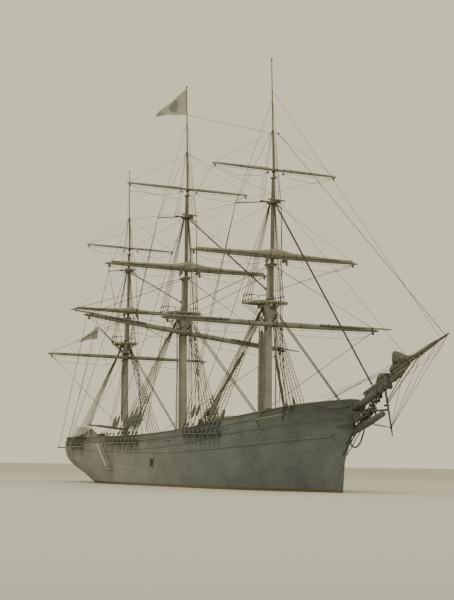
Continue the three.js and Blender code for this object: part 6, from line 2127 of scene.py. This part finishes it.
# Faces below a line that climbs towards the fore end take the dark canvas: painted shade under the lifted
# eave, not a darker cloth.
in_shade = middles[:, 2] < np.interp(middles[:, 0], (-27.2, -26.0, -24.4), (4.7, 5.25, 5.95))
tent_part["slot"] = in_shade.astype(int)
tent = piece("poop_awning_cloth", [tent_part], [tent_canvas, dark_canvas_and_tent_shade], replaces="poop_awning",
             crisp=60)
width = float(np.linalg.norm(np.diff(tent_grid, axis=1), axis=2).sum(1).mean()) * HALF

# %% The tent's end flap, poles and guys
# The fore end is closed by a hanging flap.
flap_y = np.linspace(TENT["starboard"] + 0.12, TENT["port"] - 0.12, 25)[:, None]
drop = np.linspace(0, 1, 13)[None]
roof = tent_grid[-3, 7:-7]
flap_top = np.interp(flap_y[:, 0], roof[:, 1], roof[:, 2])[:, None] - 0.035
flap_z = flap_top * (1 - drop) + (float(rail_z(-24.2)) - POOP_RAIL + 0.03) * drop
flap_x = TENT["fore"] - 0.12 - 0.1 * drop + 0.035 * np.sin(9 * flap_y + 2 * drop) * drop
flap_grid = xyz(flap_x, flap_y, flap_z)
flap = piece("poop_awning_end", [shell(flap_grid, 0.014)], [tent_canvas], crisp=60)
across, along_drop = np.diff(flap_grid, axis=0)[:, 1:], np.diff(flap_grid, axis=1)[1:]
pole_at = [(x, TENT["ridge_y"], z - 0.03)
           for x, z in ((TENT["aft"] + 0.06, TENT["ridge"] + 0.16),
                        (TENT["fore"] - 0.06, TENT["ridge"] - 0.1))]
poles = ropes([((x, y, 4.88), (x, y, z)) for x, y, z in pole_at], 0.05, 8)
guys = [(pole_at[0], (-29.1, -2.3, 5.5)), (pole_at[1], (-22.3, -2.6, 4.9))]
for x in (-27.9, -26.7, -25.5, -24.2):
    guys.append(((x, TENT["starboard"] + 0.02, 5.6),
                 (x - 0.1, -float(rail_half(x)) + 0.16, float(rail_z(x)) - 0.02)))
piece("tent_poles_and_guys", [poles, ropes(guys, 0.014, 5, slot=1)], [upper_wood, hemp])

# %% Flags
WIND = np.array([-0.62, -0.78, 0.0])


def flag_cloth(hoist, reach, top_drop, low_drop, wave, seed, columns=61, rows=37):
    """Cloth from a hoist of two points: column s flies out along the wind; its upper edge sinks
    by top_drop * s, its lower edge by low_drop * s squared, and folds grow towards the fly."""
    top, low = np.asarray(hoist, float)
    s = np.linspace(0, 1, columns)[:, None]
    v = np.linspace(0, 1, rows)[None]
    across = np.array([-WIND[1], WIND[0], 0])
    out = wave * s * np.sin(2 * np.pi * (1.5 * s + 0.3 * v * s) + seed)
    upper, lower = top[2] - top_drop * s ** 0.95, low[2] - low_drop * s**2
    height = upper * (1 - v) + lower * v
    along = reach * s * (1 - 0.04 * np.abs(2 * v - 1)) * 0.97
    x = top[0] + (low[0] - top[0]) * v + along * WIND[0] + out * across[0]
    y = along * WIND[1] + out * across[1]
    return xyz(x, y, height)


print("cloth for flags ready")

# %% Flag paint and the piece of a flag
def flag_paint(name, field, band, kind):
    """A plain field with stripes (kind 'stripes') or one disc (kind 'disc') on the UV."""
    material = worn(name, field, tuple(0.7 * c for c in field[:3]) + (1,), field, 1.2, (1, 1, 1), 0.95, 0.004)
    tree, paint, colour_in = paint_of(material)
    uv = link(tree, "ShaderNodeTexCoord").outputs["UV"]
    p = link(tree, "ShaderNodeSeparateXYZ", {"Vector": uv})
    if kind == "disc":
        # The squares of the distance from the middle over the half width, both ways, sum to under 1.
        squares = []
        for k, middle, half_width in ((0, 0.41, 0.15), (1, 0.45, 0.38)):
            off = reckoned(tree, "SUBTRACT", p.outputs[k], middle)
            squares.append(reckoned(tree, "POWER", reckoned(tree, "MULTIPLY", off, 1 / half_width), 2.0))
        mask = reckoned(tree, "LESS_THAN", reckoned(tree, "ADD", *squares), 1.0)
    else:
        mask = reckoned(tree, "LESS_THAN", reckoned(tree, "MODULO", p.outputs[1], 0.2), 0.1)
    tree.links.new(blended(tree, mask, paint, band), colour_in)
    return material


def flag_piece(name, grid, paint, body, node):
    """The cloth as a thin closed sheet; its UV runs 0 to 1 both ways."""
    thin = np.cross(np.gradient(grid, axis=0), np.gradient(grid, axis=1))
    thin *= 0.004 / np.linalg.norm(thin, axis=2, keepdims=True)
    part = skins(np.concatenate([grid + thin, (grid - thin)[:, ::-1]], 1)[None])
    stations, columns = grid.shape[:2]
    u = np.broadcast_to(np.linspace(0, 1, stations)[:, None], (stations, 2 * columns))
    v = np.concatenate([np.linspace(0, 1, columns), np.linspace(1, 0, columns)])[None] + 0 * u
    flat_uv = np.concatenate([np.stack([u, v], -1).reshape(-1, 2), [[0, 0.5], [1, 0.5]]])
    part["quad_uv"], part["tri_uv"] = flat_uv[part["quads"]], flat_uv[part["tris"]]
    obj = piece(name, [part], [paint], body, node, crisp=70)


# %% The two flags in their places
hoist = [pole_point("main", 46.45) + (-0.06, 0, 0), pole_point("main", 43.2) + (-0.06, 0, 0)]
flag_light = flag_paint("flag_light", srgb(168, 166, 152), srgb(118, 118, 104), "disc")
flag_piece("main_truck_flag_cloth", flag_cloth(hoist, 3.9, 3.1, 0.05, 0.3, 0.6), flag_light, "ship",
           "main_truck_flag")
hoist = [(-27.6, 0, 20.05), (-27.75, 0, 18.3)]
flag_dark = flag_paint("flag_dark", srgb(148, 148, 136), srgb(172, 171, 158), "stripes")
flag_piece("ensign_cloth", flag_cloth(hoist, 2.75, 2.1, 0.5, 0.22, 2.4), flag_dark, "spanker_gaff_body",
           "ensign")

# %% [markdown]
# ## Water line, light and sizes
# The floor stands at the water, so the ship floats in a plain pale plane. The light is soft and
# comes from high on the starboard bow, as on a bright hazy day.

# %% Floor
floor_mesh = bpy.data.meshes.new("water_floor")
span = 400.0
floor_mesh.from_pydata([(-span, -span, 0), (span, -span, 0), (span, span, 0), (-span, span, 0)], [],
                       [(0, 1, 2, 3)])
water_floor = bpy.data.objects.new("water_floor", floor_mesh)
bpy.context.scene.collection.objects.link(water_floor)
pale = bpy.data.materials.new("pale_floor")
pale.use_nodes = True
pale.node_tree.nodes["Principled BSDF"].inputs["Base Color"].default_value = srgb(198, 196, 184)
pale.node_tree.nodes["Principled BSDF"].inputs["Roughness"].default_value = 0.9
floor_mesh.materials.append(pale)
water_floor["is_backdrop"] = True
print("floor at the water,", 2 * span, "m wide")

# %% Sky
world = bpy.data.worlds.new("sky")
bpy.context.scene.world = world
world.use_nodes = True
world.node_tree.nodes["Background"].inputs["Color"].default_value = srgb(220, 212, 180)
world.node_tree.nodes["Background"].inputs["Strength"].default_value = 1.2
print("sky ready")

# %% Lamps
def soft_light(name, spot, target, size, power, colour):
    """A square area light at `spot` that points at `target`."""
    lamp = bpy.data.lights.new(name, "AREA")
    lamp.size, lamp.energy, lamp.color = size, power, colour
    obj = bpy.data.objects.new(name, lamp)
    run = Vector(target) - Vector(spot)
    obj.matrix_world = Matrix.Translation(spot) @ run.to_track_quat("-Z", "Y").to_matrix().to_4x4()
    bpy.context.scene.collection.objects.link(obj)


soft_light("key", (40, -30, 55), (2, 0, 6), 30, 15000, (0.95, 1.0, 0.98))
soft_light("fill", (-50, -45, 30), (0, 0, 8), 40, 4500, (0.92, 0.98, 1.0))
soft_light("back", (10, 60, 40), (0, 0, 8), 40, 4500, (0.97, 1.0, 0.96))
print("three soft lamps")

# %% Sizes and finish
sizes = {"cad": [list(corner) for corner in cad_box], "scene": [list(corner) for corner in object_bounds()]}
print("frame box", sizes["cad"], "scene box", sizes["scene"])
